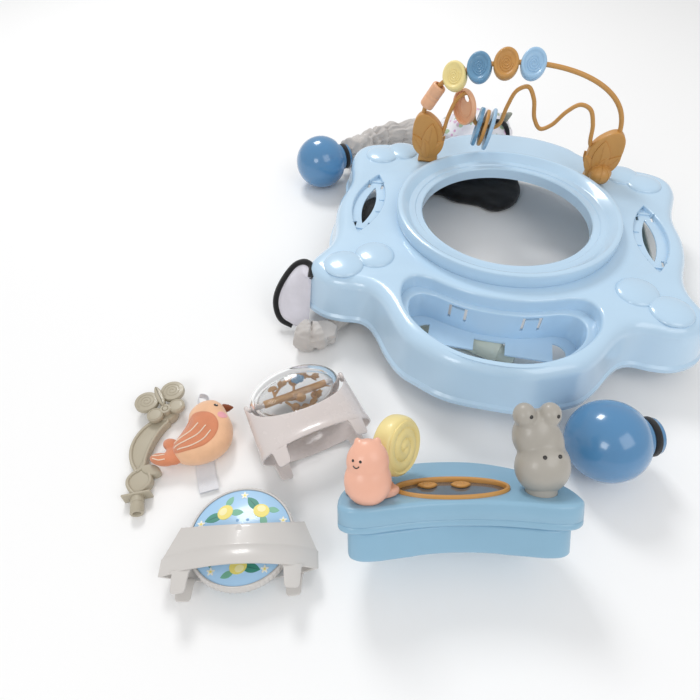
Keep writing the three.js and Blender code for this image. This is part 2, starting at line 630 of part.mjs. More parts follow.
function addSeat() {
  const w = shell.halfWidth;
  const [f, b] = [shell.frontReach, shell.backReach];
  // The black underside, laid flat under the tray's left and back
  const baseLoop = smoothLoop([
    [-0.83 * w, -0.2 * f], [-0.66 * w, -0.21 * f], [-0.64 * w, 0.12 * b], [-0.56 * w, 0.48 * b],
    [-0.41 * w, 0.63 * b], [-0.27 * w, 0.57 * b], [-0.12 * w, 0.56 * b], [-0.02 * w, 0.52 * b],
    [0.1 * w, 0.6 * b], [0.15 * w, 0.76 * b], [0.12 * w, 0.95 * b], [0.05 * w, 1.2 * b],
    [-0.12 * w, 1.42 * b], [-0.34 * w, 1.4 * b], [-0.44 * w, 1.15 * b], [-0.56 * w, 0.85 * b],
    [-0.78 * w, 0.45 * b], [-0.85 * w, 0.1 * b],
  ], 36);
  addPiece(model, 'seat_base', 'ink', single(softPlate(baseLoop, 0, seat.baseThickness, seat.edge, 1)));
  const sleeves = sleeveForms();
  const base = cut(heapForm(), sleeves.long(2 * clearance));
  addPiece(model, 'seat_pad', 'linen', base);
  // What the sleeves meet, each grown by the clearance
  const collar = legTop.neckRadius + legTop.bandThickness + 4 * clearance;
  const necks = legTopPlaces.map(({ x, y, turn }) => rod(collar, legTop.length / 2 + clearance, 20)
    .translate(0, 0, legTop.length / 2 - legTop.radius).rotateY(Math.PI / 2)
    .rotateZ(THREE.MathUtils.degToRad(turn)).translate(x, y, legTop.radius));
  const crossing = rod(legTube.diameter / 2 + clearance, legTube.length, 16).rotateY(Math.PI / 2)
    .rotateZ(THREE.MathUtils.degToRad(tubePlaces[0].turn))
    .translate(tubePlaces[0].x, tubePlaces[0].y, legTube.diameter / 2);
  const skirt = cut(
    plate(offsetLoop(trayLoop, clearance), lipHeight - clearance, deckHeight),
    plate(offsetLoop(trayLoop, -shell.edgeRadius), lipHeight - overrun, deckHeight + overrun));
  addPiece(model, 'sleeve_1', 'cloud', cut(single(sleeves.long(0)), necks[0]));
  addPiece(model, 'sleeve_2', 'cloud', cut(single(sleeves.short), necks[2], crossing, skirt));
  // The flap stands on its edge against the tray's left corner
  const flapLoop = smoothLoop(flapShares.map(([along, up]) => [along * f, up * deckHeight]), 22)
    .map(([along, up]) => [along, Math.max(up, 0)]);
  const flap = softPlate(flapLoop, 0, seat.flapThickness, seat.flapEdge, 1)
    .rotateX(Math.PI / 2).rotateZ(Math.PI / 2)
    .translate(-flapReach * w - seat.flapThickness - clearance, 0, 0);
  addPiece(model, 'seat_flap', 'linen', single(flap));
}

// Bead arch
// The leaf foot, as shares of its width and height
const leafShares = [
  [-0.29, 0], [0.29, 0], [0.24, 0.2], [0.44, 0.34], [0.38, 0.46], [0.52, 0.6], [0.4, 0.68],
  [0.42, 0.84], [0.2, 0.84], [0.04, 1], [-0.12, 0.86], [-0.34, 0.86], [-0.34, 0.7], [-0.5, 0.6],
  [-0.38, 0.46], [-0.44, 0.32], [-0.24, 0.2],
];
// The low wire: share of the foot distance, share of its rise
const wireShares = [
  [-0.87, 0.3], [-0.81, 0.55], [-0.73, 0.74], [-0.63, 0.8], [-0.55, 0.66], [-0.485, 0.492],
  [-0.385, 0.477], [-0.285, 0.462], [-0.215, 0.51], [-0.17, 0.7], [-0.1, 0.87], [0.01, 0.915],
  [0.1, 0.8], [0.16, 0.6], [0.25, 0.5], [0.36, 0.55], [0.48, 0.7], [0.6, 0.785], [0.72, 0.75],
  [0.8, 0.6], [0.85, 0.38],
];

function archPoint(angle) {
  const height = (arch.rise - arch.base) * Math.sin(angle) ** arch.fullness;
  return [-arch.spread * Math.cos(angle), arch.y, deckHeight + arch.base + height];
}

function archSlope(angle) {
  const step = 0.01;
  const [before, after] = [archPoint(angle - step), archPoint(angle + step)];
  return Math.atan2(after[2] - before[2], after[0] - before[0]);
}

function leafFoot(side) {
  const outline = smoothLoop(leafShares.map(([across, along]) => [
    side * (across * arch.leafWidth + along * arch.lean),
    along * arch.leafHeight]), 30).map(([x, z]) => [x, Math.max(z, 0)]);
  const leaf = softPlate(outline, 0, arch.leafThickness, arch.leafThickness * 0.18, 1)
    .rotateX(Math.PI / 2).translate(0, arch.leafThickness / 2, clearance);
  const peg = box(arch.pegWidth, arch.pegDepth, arch.pegLength + 2 * clearance + overrun)
    .translate(0, 0, -arch.pegLength);
  return join(leaf, peg).translate(side * arch.footX, arch.y, deckHeight);
}

function addBeadArch() {
  const arcSteps = 12;
  const upperRoute = Array.from({ length: arcSteps + 1 }, (_, i) =>
    archPoint((Math.PI * i) / arcSteps));
  const sink = arch.leafHeight * 0.3;
  const [start, end] = [upperRoute[0], upperRoute[arcSteps]];
  const upper = tubeAlong([[start[0], start[1], start[2] - sink], ...upperRoute,
    [end[0], end[1], end[2] - sink]], arch.rodRadius, 6, 30);
  const wireRoute = wireShares.map(([across, along]) => [
    across * arch.footX, arch.y, deckHeight + along * arch.wireRise]);
  const wire = tubeAlong([[-0.97 * arch.footX, arch.y, deckHeight + 0.2 * arch.wireRise],
    ...wireRoute, [0.97 * arch.footX, arch.y, deckHeight + 0.28 * arch.wireRise]],
  arch.wireRadius, 6, 54);
  const rightKnob = ball(arch.knobRadius, arch.knobRadius, arch.knobRadius * 0.9, 12, 7)
    .translate(arch.footX + arch.leafWidth * 0.12, arch.y - arch.leafThickness * 0.7,
      deckHeight + arch.knobRadius * 0.9 + clearance);
  addPiece(model, 'arch_frame', 'ochre', join(leafFoot(-1), leafFoot(1), rightKnob, upper, wire));
}

function spinBead(turnIn) {
  // A rounded oval button with its bore along x
  const outline = ovalLoop(bead.width, bead.height, 16);
  const button = softPlate(outline, 0, bead.thickness, bead.thickness * 0.3, 2)
    .translate(0, 0, -bead.thickness / 2).rotateX(Math.PI / 2 + turnIn);
  const bore = rod(bead.bore, bead.width + 2 * overrun, 10).rotateY(Math.PI / 2)
    .translate(-bead.width / 2 - overrun, 0, 0);
  return cut(button, bore);
}

// Each bead on the high rod: name, colour and its angle from the left foot as a share of pi
const highBeads = [
  ['bead_yellow', 'butter', 0.241], ['bead_blue', 'slate', 0.334], ['bead_ochre', 'ochre', 0.42],
  ['bead_sky', 'sky', 0.502],
];
const barrelShare = 0.112;

// A bead rests on the rod with the top of its bore
function hangOnRod(mesh, share, bore, turnY) {
  const drop = bore - arch.rodRadius - 2 * clearance;
  const slope = archSlope(share * Math.PI);
  const [x, y, z] = archPoint(share * Math.PI);
  mesh.rotation.y = turnY;
  mesh.position.set(x + drop * Math.sin(slope), y, z - drop * Math.cos(slope));
}

function addBeads() {
  const lean = -THREE.MathUtils.degToRad(42);
  for (const [name, colour, share] of highBeads) {
    const mesh = addPiece(model, name, colour, spinBead(lean));
    hangOnRod(mesh, share, bead.bore, -archSlope(share * Math.PI));
  }
  const barrelForm = turned([
    [barrel.bore, 0], [barrel.radius * 0.85, 0], [barrel.radius, barrel.length * 0.1],
    [barrel.radius, barrel.length * 0.9], [barrel.radius * 0.85, barrel.length],
    [barrel.bore, barrel.length], [barrel.bore, 0]], 16).translate(0, 0, -barrel.length / 2);
  const barrelMesh = addPiece(model, 'bead_barrel', 'peach', single(barrelForm));
  hangOnRod(barrelMesh, barrelShare, barrel.bore, Math.PI / 2 - archSlope(barrelShare * Math.PI));
}

const stackPlace = { share: -0.385, height: 0.477, slope: -9 };
const hoopPlace = { share: -0.63, height: 0.795, turn: 40 };

function addWireDiscs() {
  // A shallow cup that hangs on the first hump by a hole near its edge
  const cup = turned([
    [0, 0], [hoop.radius, 0], [hoop.radius, hoop.thickness],
    [hoop.radius - hoop.rim, hoop.thickness], [hoop.radius - hoop.rim, hoop.base],
    [0, hoop.base]], 28).translate(0, 0, -hoop.base / 2);
  const hoopForm = cut(cup, rod(hoop.bore, hoop.thickness * 3, 12)
    .translate(hoop.hang, 0, -hoop.thickness * 1.5));
  const hoopMesh = addPiece(model, 'hoop_peach', 'peach', hoopForm.translate(-hoop.hang, 0, 0));
  hoopMesh.rotation.set(0, -Math.PI / 2, THREE.MathUtils.degToRad(hoopPlace.turn), 'ZYX');
  hoopMesh.position.set(hoopPlace.share * arch.footX, arch.y,
    deckHeight + hoopPlace.height * arch.wireRise - (hoop.bore - arch.wireRadius - 4 * clearance));
  const flowerLoop = Array.from({ length: 32 }, (_, i) => {
    const angle = (2 * Math.PI * i) / 32;
    const reach = stack.flowerRadius * (0.92 + 0.08 * Math.cos(8 * angle));
    return [reach * Math.cos(angle), reach * Math.sin(angle)];
  });
  const bore = rod(stack.bore, 4 * stack.thickness, 12).translate(0, 0, -stack.thickness);
  const round = (radius) => softPlate(ovalLoop(2 * radius, 2 * radius, 26), 0, stack.thickness,
    stack.thickness * 0.25, 1);
  const discs = [
    ['disc_flower', 'slate', softPlate(flowerLoop, 0, stack.thickness, stack.thickness * 0.25, 1)],
    ['disc_ochre', 'ochre', round(stack.innerRadius)],
    ['disc_sky', 'sky', round(stack.ringRadius)],
  ];
  const sag = stack.bore - arch.wireRadius - 2 * clearance;
  discs.forEach(([name, colour, geometry], i) => {
    const mesh = addPiece(model, name, colour,
      cut(geometry, bore).translate(0, 0, -stack.thickness / 2));
    const slope = THREE.MathUtils.degToRad(stackPlace.slope);
    const along = (i - 1) * (stack.thickness + stack.gap);
    mesh.rotation.set(0, Math.PI / 2 - slope, 0);
    mesh.position.set(stackPlace.share * arch.footX + along * Math.cos(slope), arch.y,
      deckHeight + stackPlace.height * arch.wireRise + along * Math.sin(slope) - sag);
  });
}

// Console with its snail and hippo; its own frame has the inner, curved-in side towards -Y
function kidneyPlan(length, inset = 0) {
  const scale = length / (2 * pocket.halfWidth);
  const middle = -pocketRear - pocket.depth / 2;
  const hollow = -pocket.depth / 2; // where the curved-in side's middle lies
  const outline = inset > 0 ? shrunkLoop(pocketLoop, inset / scale) : pocketLoop;
  return outline.map(([x, y]) => {
    const along = middle - y;
    const eased = along < hollow ? hollow + (along - hollow) * consoleBox.dent : along;
    return [-x * scale, eased * scale];
  });
}

function leafKey() {
  return softPlate(lensLoop(consoleBox.keyLength, consoleBox.keyWidth, 16), 0,
    consoleBox.keyHeight, consoleBox.keyHeight * 0.3, 1).rotateZ(Math.PI / 2);
}

function snailBody(dialTool) {
  const { headWidth, headDepth, headHeight, headY, armDepth } = snail;
  const head = ball(headWidth / 2, headDepth / 2, headHeight * 0.36, 16, 9)
    .translate(0, headY, headHeight * 0.64);
  const chest = ball(headWidth * 0.56, headDepth * 0.54, headHeight * 0.4, 16, 8)
    .translate(0, headY, headHeight * 0.34);
  const foot = softPlate(ovalLoop(snail.footLength, snail.footWidth, 24), 0, snail.footHeight,
    snail.footHeight * 0.3, 1).translate(snail.footX, snail.footY, 0);
  // The arm behind the shell carries its pin
  const behind = snail.shellThickness / 2 + 2 * clearance + armDepth / 2;
  const arm = ball(armDepth * 1.4, armDepth / 2, headHeight * 0.42, 12, 7)
    .translate(0, behind, snail.shellHeight * 0.8);
  const pin = rod(snail.pinRadius, snail.shellThickness + armDepth / 2, 12).rotateX(Math.PI / 2)
    .translate(0, behind, snail.shellHeight);
  const carrier = join(arm, pin).rotateZ(THREE.MathUtils.degToRad(snail.shellTurn))
    .translate(snail.shellX, snail.shellY, 0);
  const floorCut = box(4 * headWidth, 4 * headWidth, headHeight).translate(0, 0, -headHeight);
  return cut(join(head, chest, foot, carrier), floorCut, dialTool);
}

function snailShell() {
  const { shellRadius, shellThickness, pinRadius } = snail;
  const half = shellThickness / 2;
  const bore = pinRadius + clearance;
  const profile = [[bore, -half * 0.55], [shellRadius * 0.55, -half * 0.6]];
  for (const share of [-0.8, -0.5, -0.15, 0.2, 0.55, 0.85]) {
    profile.push([shellRadius * (0.7 + 0.3 * Math.sqrt(1 - share * share)), half * share]);
  }
  profile.push([shellRadius * 0.62, half * 0.95], [shellRadius * 0.4, half * 0.85],
    [shellRadius * 0.33, half], [bore, half], profile[0]);
  return single(turned(profile, 20).rotateX(Math.PI / 2));
}

function hippoForm() {
  const { muzzleWidth, muzzleDepth, muzzleHeight, headWidth, headHeight, eyeRadius } = hippo;
  const muzzle = ball(muzzleWidth / 2, muzzleDepth / 2, muzzleHeight / 2, 16, 9)
    .translate(0, 0, muzzleHeight * 0.46);
  const head = ball(headWidth / 2, muzzleDepth * 0.42, headHeight / 2, 14, 8)
    .translate(-hippo.lean, muzzleDepth * 0.15, muzzleHeight * 0.72 + headHeight * 0.3);
  const eyes = [-1, 1].map((side) => ball(eyeRadius, eyeRadius, eyeRadius * 1.1, 10, 6).translate(
    side * headWidth * 0.27 - 1.3 * hippo.lean, 0, muzzleHeight * 0.72 + headHeight * 0.72));
  const neck = ball(muzzleWidth * 0.4, muzzleDepth * 0.38, muzzleHeight * 0.5, 12, 6)
    .translate(0, muzzleDepth * 0.1, muzzleHeight * 0.8);
  const floorCut = box(4 * muzzleWidth, 4 * muzzleDepth, muzzleHeight)
    .translate(0, 0, hippo.skirtGap - muzzleHeight);
  return cut(join(muzzle, neck, head, ...eyes), floorCut);
}

function addConsole() {
  const group = new THREE.Group();
  const c = consoleBox;
  const top = c.lowerHeight + c.upperHeight;
  const shrink = (c.length - c.lowerLength) / 2;
  addPiece(group, 'console_base', 'pool',
    single(softPlate(kidneyPlan(c.length, shrink), 0, c.lowerHeight, c.edge)));
  const upper = softPlate(kidneyPlan(c.length), c.lowerHeight + clearance, top, c.edge);
  const dialOval = (inset) => ovalLoop(c.dialLength - 2 * inset, c.dialWidth - 2 * inset, 30)
    .map(([x, y]) => [x + c.dialX, y + c.dialY]);
  const dialWell = plate(dialOval(0), top - c.dialDepth, top + overrun);
  const hippoWell = rod(hippo.postRadius + clearance, c.dialDepth + overrun, 20)
    .translate(hippo.x, hippo.y, top - c.dialDepth);
  addPiece(group, 'console_top', 'pool', cut(upper, dialWell, hippoWell));
  const dialFloor = top - c.dialDepth + clearance;
  addPiece(group, 'dial_rim', 'ochre', cut(
    plate(dialOval(clearance), dialFloor, top + c.rimHeight),
    plate(dialOval(c.rimWidth), dialFloor - overrun, top + c.rimHeight + overrun)));
  addPiece(group, 'dial_glass', 'glass', single(plate(dialOval(c.rimWidth + clearance),
    dialFloor, dialFloor + c.glassHeight)));
  for (const [side, label] of [[-1, 'left'], [1, 'right']]) {
    const key = addPiece(group, `leaf_key_${label}`, 'ochre', single(leafKey()));
    key.position.set(c.dialX + c.keyShift + side * c.keySpread * 0.5, c.dialY + c.dialWidth * 0.2,
      dialFloor + c.glassHeight + clearance);
  }
  // The snail's foot stops short of the dial
  const dialTool = plate(dialOval(-2 * clearance), -overrun, snail.footHeight + overrun)
    .translate(-snail.x, -snail.y, 0);
  const snailMesh = addPiece(group, 'snail_body', 'coral', snailBody(dialTool));
  snailMesh.position.set(snail.x, snail.y, top + clearance);
  const shellMesh = addPiece(group, 'snail_shell', 'butter', snailShell());
  shellMesh.position.set(snail.x + snail.shellX, snail.y + snail.shellY,
    top + clearance + snail.shellHeight);
  shellMesh.rotation.z = THREE.MathUtils.degToRad(snail.shellTurn);
  const post = rod(hippo.postRadius, c.dialDepth + hippo.skirtGap + overrun, 20)
    .translate(0, 0, -c.dialDepth + hippo.travel + clearance);
  const hippoMesh = addPiece(group, 'hippo', 'hide', join(hippoForm(), post));
  hippoMesh.position.set(hippo.x, hippo.y, top);
  group.rotation.set(-THREE.MathUtils.degToRad(c.tilt), 0, THREE.MathUtils.degToRad(c.turn), 'ZYX');
  const [, lead] = legTopPlaces;
  group.position.set(lead.x + c.fromLegX, lead.y + c.fromLegY, 0);
  standOnFloor(group);
  model.add(group);
}

// Toy cradles: a hollow wall on a narrow plan, with four tabs that plug into the tray
function cradleWall(toy, planAt) {
  const sections = (grow) => [[0, toy.length, toy.width], [toy.height, toy.topLength,
    toy.topWidth]].map(([level, length, width]) => levelRing(planAt(length, width, grow), level));
  const cutEnds = sections(toy.wall);
  cutEnds[0] = cutEnds[0].map(([x, y]) => [x, y, -overrun]);
  cutEnds[1] = cutEnds[1].map(([x, y]) => [x, y, toy.height + overrun]);
  const dipRadius = (toy.topLength ** 2 / 4 + toy.dip ** 2) / (2 * toy.dip);
  const dipTool = rod(dipRadius, 4 * toy.topWidth, 48).rotateX(Math.PI / 2)
    .translate(0, 2 * toy.topWidth, toy.height - toy.dip + dipRadius);
  return cut(loft(sections(0)), loft(cutEnds), dipTool);
}

function cradleTabs(toy, halfDepthAt) {
  const seatY = halfDepthAt(toy.tabSpread / toy.length);
  return [-1, 1].flatMap((side) => [-1, 1].map((face) => box(
    tab.width, tab.thickness, tab.length + overrun).translate(
    side * toy.tabSpread / 2, face * (seatY - tab.thickness * 0.7), -tab.length)));
}

// A toy lies on the back of its cradle, so its lean comes from how far the cradle flares
function lieBack(group, toy) {
  const flare = Math.atan((toy.topWidth - toy.width) / 2 / toy.height);
  group.rotation.set(-Math.PI / 2 + flare, 0, THREE.MathUtils.degToRad(toy.turn), 'ZYX');
  group.position.set(toy.x, -shell.frontReach - toy.beyondFront, 0);
  standOnFloor(group);
  model.add(group);
}

function addDiscToy() {
  const group = new THREE.Group();
  const { radius, thickness, rim, axleRadius, centreHeight } = discToy;
  const t = discToy;
  const pointed = (length, width, grow) => lensLoop(length - 2.6 * grow, width - 2 * grow, 28)
    .map(([x, y]) => [y, -x]);
  const halfWidthAt = t.width / 2 + ((t.topWidth - t.width) / 2) * (centreHeight / t.height);
  const axle = rod(axleRadius, 2 * halfWidthAt - t.wall, 12).rotateX(Math.PI / 2)
    .translate(0, halfWidthAt - t.wall / 2, centreHeight);
  addPiece(group, 'disc_cradle', 'stone', join(cradleWall(t, pointed), axle,
    ...cradleTabs(t, (share) => (t.width / 2) * (1 - share * share))));
  const face = rod(radius - rim, thickness, 32).translate(0, 0, -thickness / 2);
  const rimForm = turned([
    [radius - rim + clearance, -thickness / 2 - discToy.rimProud],
    [radius, -thickness / 2], [radius, thickness / 2],
    [radius - rim + clearance, thickness / 2 + discToy.rimProud],
    [radius - rim + clearance, -thickness / 2 - discToy.rimProud]], 32);
  const bore = rod(axleRadius + clearance, 4 * thickness, 16).translate(0, 0, -2 * thickness);
  const faceMesh = addPiece(group, 'picture_disc', 'picture', cut(face, bore).rotateX(Math.PI / 2));
  const rimMesh = addPiece(group, 'disc_rim', 'stone', single(rimForm).rotateX(Math.PI / 2));
  faceMesh.position.z = centreHeight;
  rimMesh.position.z = centreHeight;
  lieBack(group, discToy);
}

function addDomeToy() {
  const group = new THREE.Group();
  const d = domeToy;
  const rounded = (length, width, grow) => ovalLoop(length - 2 * grow, width - 2 * grow, 28);
  const horns = [-1, 1].map((side) => softPlate(smoothLoop([
    [-d.hornWidth / 2, 0], [d.hornWidth / 2, 0], [d.hornWidth * 0.4, d.hornHeight * 1.6],
    [0, d.hornHeight * 2.2], [-d.hornWidth * 0.4, d.hornHeight * 1.6]], 14), 0, 2 * d.stem,
  d.stem * 0.4, 1).rotateX(Math.PI / 2).rotateZ(Math.PI / 2)
    .translate(side * (d.globeLength / 2 + 1.4 * d.stem) - d.stem, 0,
      d.centreHeight - d.hornHeight * 1.7));
  const axle = rod(d.axleRadius, d.globeLength + 3 * d.stem, 12).rotateY(Math.PI / 2)
    .translate(-d.globeLength / 2 - 1.5 * d.stem, 0, d.centreHeight);
  const around = ball(d.globeRadius + 5 * clearance, d.globeRadius + 5 * clearance,
    d.globeLength / 2 + 2 * clearance, 24, 12).rotateY(Math.PI / 2).translate(0, 0, d.centreHeight);
  addPiece(group, 'dome_cradle', 'blush', join(cut(join(cradleWall(d, rounded), ...horns),
    around), axle, ...cradleTabs(d, (share) => (d.width / 2) * Math.sqrt(1 - share * share))));
  const outer = ball(d.globeRadius, d.globeRadius, d.globeLength / 2, 20, 10).rotateY(Math.PI / 2);
  const inner = ball(d.globeRadius - d.globeWall, d.globeRadius - d.globeWall,
    d.globeLength / 2 - 2 * d.globeWall, 16, 8).rotateY(Math.PI / 2);
  const bore = rod(d.axleRadius + clearance, 2 * d.globeLength, 16).rotateY(Math.PI / 2)
    .translate(-d.globeLength, 0, 0);
  const globe = addPiece(group, 'globe', 'glass', cut(outer, inner, bore));
  globe.position.z = d.centreHeight;
  const branchLength = d.globeLength * 0.7;
  const sleeveTube = cut(rod(d.axleRadius + 3 * clearance + d.stem * 0.6, branchLength, 14),
    rod(d.axleRadius + clearance, 3 * branchLength, 14).translate(0, 0, -branchLength))
    .rotateY(Math.PI / 2).translate(-branchLength / 2, 0, 0);
  const sprigs = [-0.34, 0, 0.34].map((share, i) => {
    const lean = (i % 2 === 0 ? 1 : -1) * 0.5;
    const stemForm = rod(d.stem * 0.6, d.globeRadius * 0.52, 7);
    const cap = ball(d.stem * 2.4, d.stem * 2.4, d.stem * 1.5, 9, 4)
      .translate(0, 0, d.globeRadius * 0.52);
    return join(stemForm, cap).rotateX(i * 1.7 + 0.6).rotateY(lean * 0.3)
      .translate(share * branchLength, 0, 0);
  });
  const clearBore = rod(d.axleRadius + clearance, 3 * branchLength, 14).rotateY(Math.PI / 2)
    .translate(-branchLength, 0, 0);
  const branch = addPiece(group, 'globe_branch', 'ochre',
    cut(join(sleeveTube, ...sprigs), clearBore));
  branch.position.z = d.centreHeight;
  lieBack(group, domeToy);
}

// Stalk with its butterfly, lying flat
function addStalk() {
  const group = new THREE.Group();
  const s = stalk;
  const arcSteps = 10;
  const arcSide = (side) => Array.from({ length: arcSteps + 1 }, (_, i) => {
    const angle = THREE.MathUtils.degToRad(
      s.fromAngle + ((s.toAngle - s.fromAngle) * i) / arcSteps);
    const swell = Math.sin((Math.PI * (i + 2)) / (arcSteps + 4));
    const reach = s.radius + side * (s.width / 2) * swell;
    return [s.centreX + reach * Math.cos(angle), s.centreY + reach * Math.sin(angle)];
  });
  const crescent = softPlate([...arcSide(1), ...arcSide(-1).reverse()], 0, s.thickness, s.edge, 1);
  const knob = rod(s.knobRadius, s.thickness, 20).translate(s.knobX, s.knobY, 0);
  const leaf = softPlate(lensLoop(s.leafLength, s.leafWidth, 20), 0, s.thickness, s.edge, 1)
    .rotateZ(THREE.MathUtils.degToRad(s.plugTurn * 0.4)).translate(s.leafX, s.leafY, 0);
  const hook = softPlate(ovalLoop(s.hookLength, s.hookWidth, 16), 0, s.thickness, s.edge, 1)
    .translate(s.hookX, s.hookY, 0);
  const flange = box(s.flangeWidth, s.flangeThickness, s.thickness * 1.3)
    .translate(0, -s.flangeThickness / 2, 0);
  const plug = cut(
    rod(s.plugRadius, s.plugLength, 16),
    rod(s.plugBore, s.plugLength, 12).translate(0, 0, s.flangeThickness * 3))
    .rotateX(Math.PI / 2).translate(0, 0, s.plugRadius);
  const fitting = join(flange, plug).rotateZ(THREE.MathUtils.degToRad(s.plugTurn))
    .translate(s.flangeX, s.flangeY, 0);
  const pin = rod(butterfly.pinRadius, s.thickness + butterfly.thickness + clearance, 14)
    .translate(s.knobX, s.knobY, 0);
  addPiece(group, 'stalk', 'sand', join(crescent, knob, leaf, hook, fitting, pin));
  const wings = [-1, 1].flatMap((side) => [
    rod(butterfly.wing, butterfly.thickness, 20)
      .translate(side * butterfly.wingX, butterfly.wingY, 0),
    rod(butterfly.smallWing, butterfly.thickness, 16)
      .translate(side * butterfly.smallX, butterfly.smallY, 0)]);
  const torso = rod(1, butterfly.thickness * 1.3, 16)
    .scale(butterfly.bodyWidth / 2, butterfly.bodyLength / 2, 1)
    .translate(0, butterfly.bodyY, 0);
  const hub = rod(butterfly.pinRadius * 2, butterfly.thickness, 16);
  const pinHole = rod(butterfly.pinRadius + clearance, 4 * butterfly.thickness, 16)
    .translate(0, 0, -butterfly.thickness);
  const wingMesh = addPiece(group, 'butterfly', 'sand', cut(join(torso, hub, ...wings), pinHole));
  wingMesh.position.set(s.knobX, s.knobY, s.thickness + clearance);
  wingMesh.rotation.z = THREE.MathUtils.degToRad(butterfly.turn);
  group.position.set(s.x, -shell.frontReach - s.beyondFront, 0);
  standOnFloor(group);
  model.add(group);
}

// Stuffed bird, lying on its side: back to the left, belly to the right, head at the top
const birdOutline = [
  [-28, -14], [-26, 5], [-32, 27], [-23, 48], [-4, 57], [13, 51], [25, 38], [40, 21], [47, -8],
  [36, -32], [14, -48], [-14, -52], [-30, -38],
];
const birdFaces = {
  beakX: 14, beakY: 48, beakTurn: 22, tagX: 24, tagY: -50, tagTurn: -60, rootX: -22, rootY: -40,
};
// Each tail lobe: middle x and y, the way that it points in degrees, share of the tail's length
const tailLobes = [[-36, -53, 184, 1], [-34, -29, 166, 0.72]];

function birdBody(grow) {
  const outline = smoothLoop(birdOutline, 30);
  const middle = bird.height / 2;
  const levels = [-1, -0.9, -0.62, -0.25, 0.25, 0.62, 0.9, 1];
  return loft(levels.map((level) => {
    const inset = bird.roundOver * (1 - Math.sqrt(1 - level * level)) - grow;
    return levelRing(shrunkLoop(outline, inset), middle + level * (middle + grow));
  }), true);
}

function addBird() {
  const group = new THREE.Group();
  const b = bird;
  const around = birdBody(clearance);
  addPiece(group, 'bird_body', 'coral', single(birdBody(0)));
  // The tail lies over the stalk, so its underside is level with the stalk's top
  const underside = box(4 * b.tailLength, 4 * b.tailLength, b.height)
    .translate(tailLobes[0][0], tailLobes[0][1], stalk.thickness + clearance - b.height);
  const lobes = tailLobes.map(([x, y, turn, share]) => ball((b.tailLength / 2) * share,
    b.tailWidth / 2, b.tailHeight / 2, 14, 8).rotateZ(THREE.MathUtils.degToRad(turn))
    .translate(x, y, stalk.thickness + b.tailHeight * 0.42));
  const root = ball(b.tailWidth * 0.8, b.tailWidth, b.tailHeight / 2, 14, 8)
    .translate(birdFaces.rootX, birdFaces.rootY, stalk.thickness + b.tailHeight * 0.42);
  addPiece(group, 'bird_tail', 'clay', cut(join(root, ...lobes), around, underside));
  const beak = turned([[0, 0], [b.beakRadius, 0], [b.beakRadius * 0.6, b.beakLength * 0.6],
    [0, b.beakLength]], 12).rotateY(Math.PI / 2)
    .rotateZ(THREE.MathUtils.degToRad(birdFaces.beakTurn))
    .translate(birdFaces.beakX, birdFaces.beakY, b.height / 2);
  addPiece(group, 'bird_beak', 'brown', cut(beak, around));
  const tag = box(b.tagLength, b.tagWidth, b.tagThickness)
    .rotateZ(THREE.MathUtils.degToRad(birdFaces.tagTurn))
    .translate(birdFaces.tagX, birdFaces.tagY, 0);
  addPiece(group, 'bird_tag', 'paper', cut(tag, around));
  group.position.set(b.x, -shell.frontReach - b.beyondFront, 0);
  standOnFloor(group);
  model.add(group);
}

addTray();
addLegTops();
addLegTubes();
addSeat();
addBeadArch();
addBeads();
addWireDiscs();
addConsole();
addDiscToy();
addDomeToy();
addStalk();
addBird();
model.position.set(-layoutCentre.x, -layoutCentre.y, 0);
model.updateMatrixWorld(true);

export default model;
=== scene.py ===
# %% [markdown]
# # A baby activity center, partly unpacked
# The real object is a blue plastic play tray with a round seat opening, a bead arch plugged in
# at the back, packed leg parts and seat cloth under it, and four loose toys in front.
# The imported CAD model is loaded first. It fixes every size and place, and each piece made below
# stands where its CAD node stands, so the dressed model and the moving model agree.

# %% Load the frame
import json
import math

import bmesh
import bpy
from mathutils import Matrix, Vector, noise

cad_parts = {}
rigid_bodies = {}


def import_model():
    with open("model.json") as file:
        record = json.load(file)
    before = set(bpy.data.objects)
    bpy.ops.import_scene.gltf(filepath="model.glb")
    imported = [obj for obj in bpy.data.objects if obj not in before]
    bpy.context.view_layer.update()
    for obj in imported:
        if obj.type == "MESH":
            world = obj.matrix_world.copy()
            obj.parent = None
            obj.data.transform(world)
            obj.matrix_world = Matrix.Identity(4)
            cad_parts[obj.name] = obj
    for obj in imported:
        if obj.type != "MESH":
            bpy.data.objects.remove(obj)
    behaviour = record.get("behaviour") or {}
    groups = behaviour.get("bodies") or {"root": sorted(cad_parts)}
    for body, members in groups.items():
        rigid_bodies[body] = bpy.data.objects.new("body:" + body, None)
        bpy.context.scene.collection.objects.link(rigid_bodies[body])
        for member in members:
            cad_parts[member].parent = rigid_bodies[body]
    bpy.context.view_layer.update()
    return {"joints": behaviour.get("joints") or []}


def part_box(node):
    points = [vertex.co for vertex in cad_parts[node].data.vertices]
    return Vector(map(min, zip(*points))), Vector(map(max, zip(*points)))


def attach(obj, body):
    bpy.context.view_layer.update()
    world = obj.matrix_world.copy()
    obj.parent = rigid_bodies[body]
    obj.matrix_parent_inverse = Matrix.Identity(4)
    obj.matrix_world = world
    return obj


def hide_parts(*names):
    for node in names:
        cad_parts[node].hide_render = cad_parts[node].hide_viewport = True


MM = 0.001


def mm(*values):
    """A place or a size given in millimetres."""
    return Vector(values) * MM


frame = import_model()
joints = {joint["name"]: joint for joint in frame["joints"]}

# %% [markdown]
# ## Camera
# The photograph looks down steeply from in front of the tray. A camera is placed by where it
# stands and which way it looks, so its distance from the seat opening, its height and its three
# turns are named here and nothing is aimed by eye. The tray's middle comes from the CAD box.

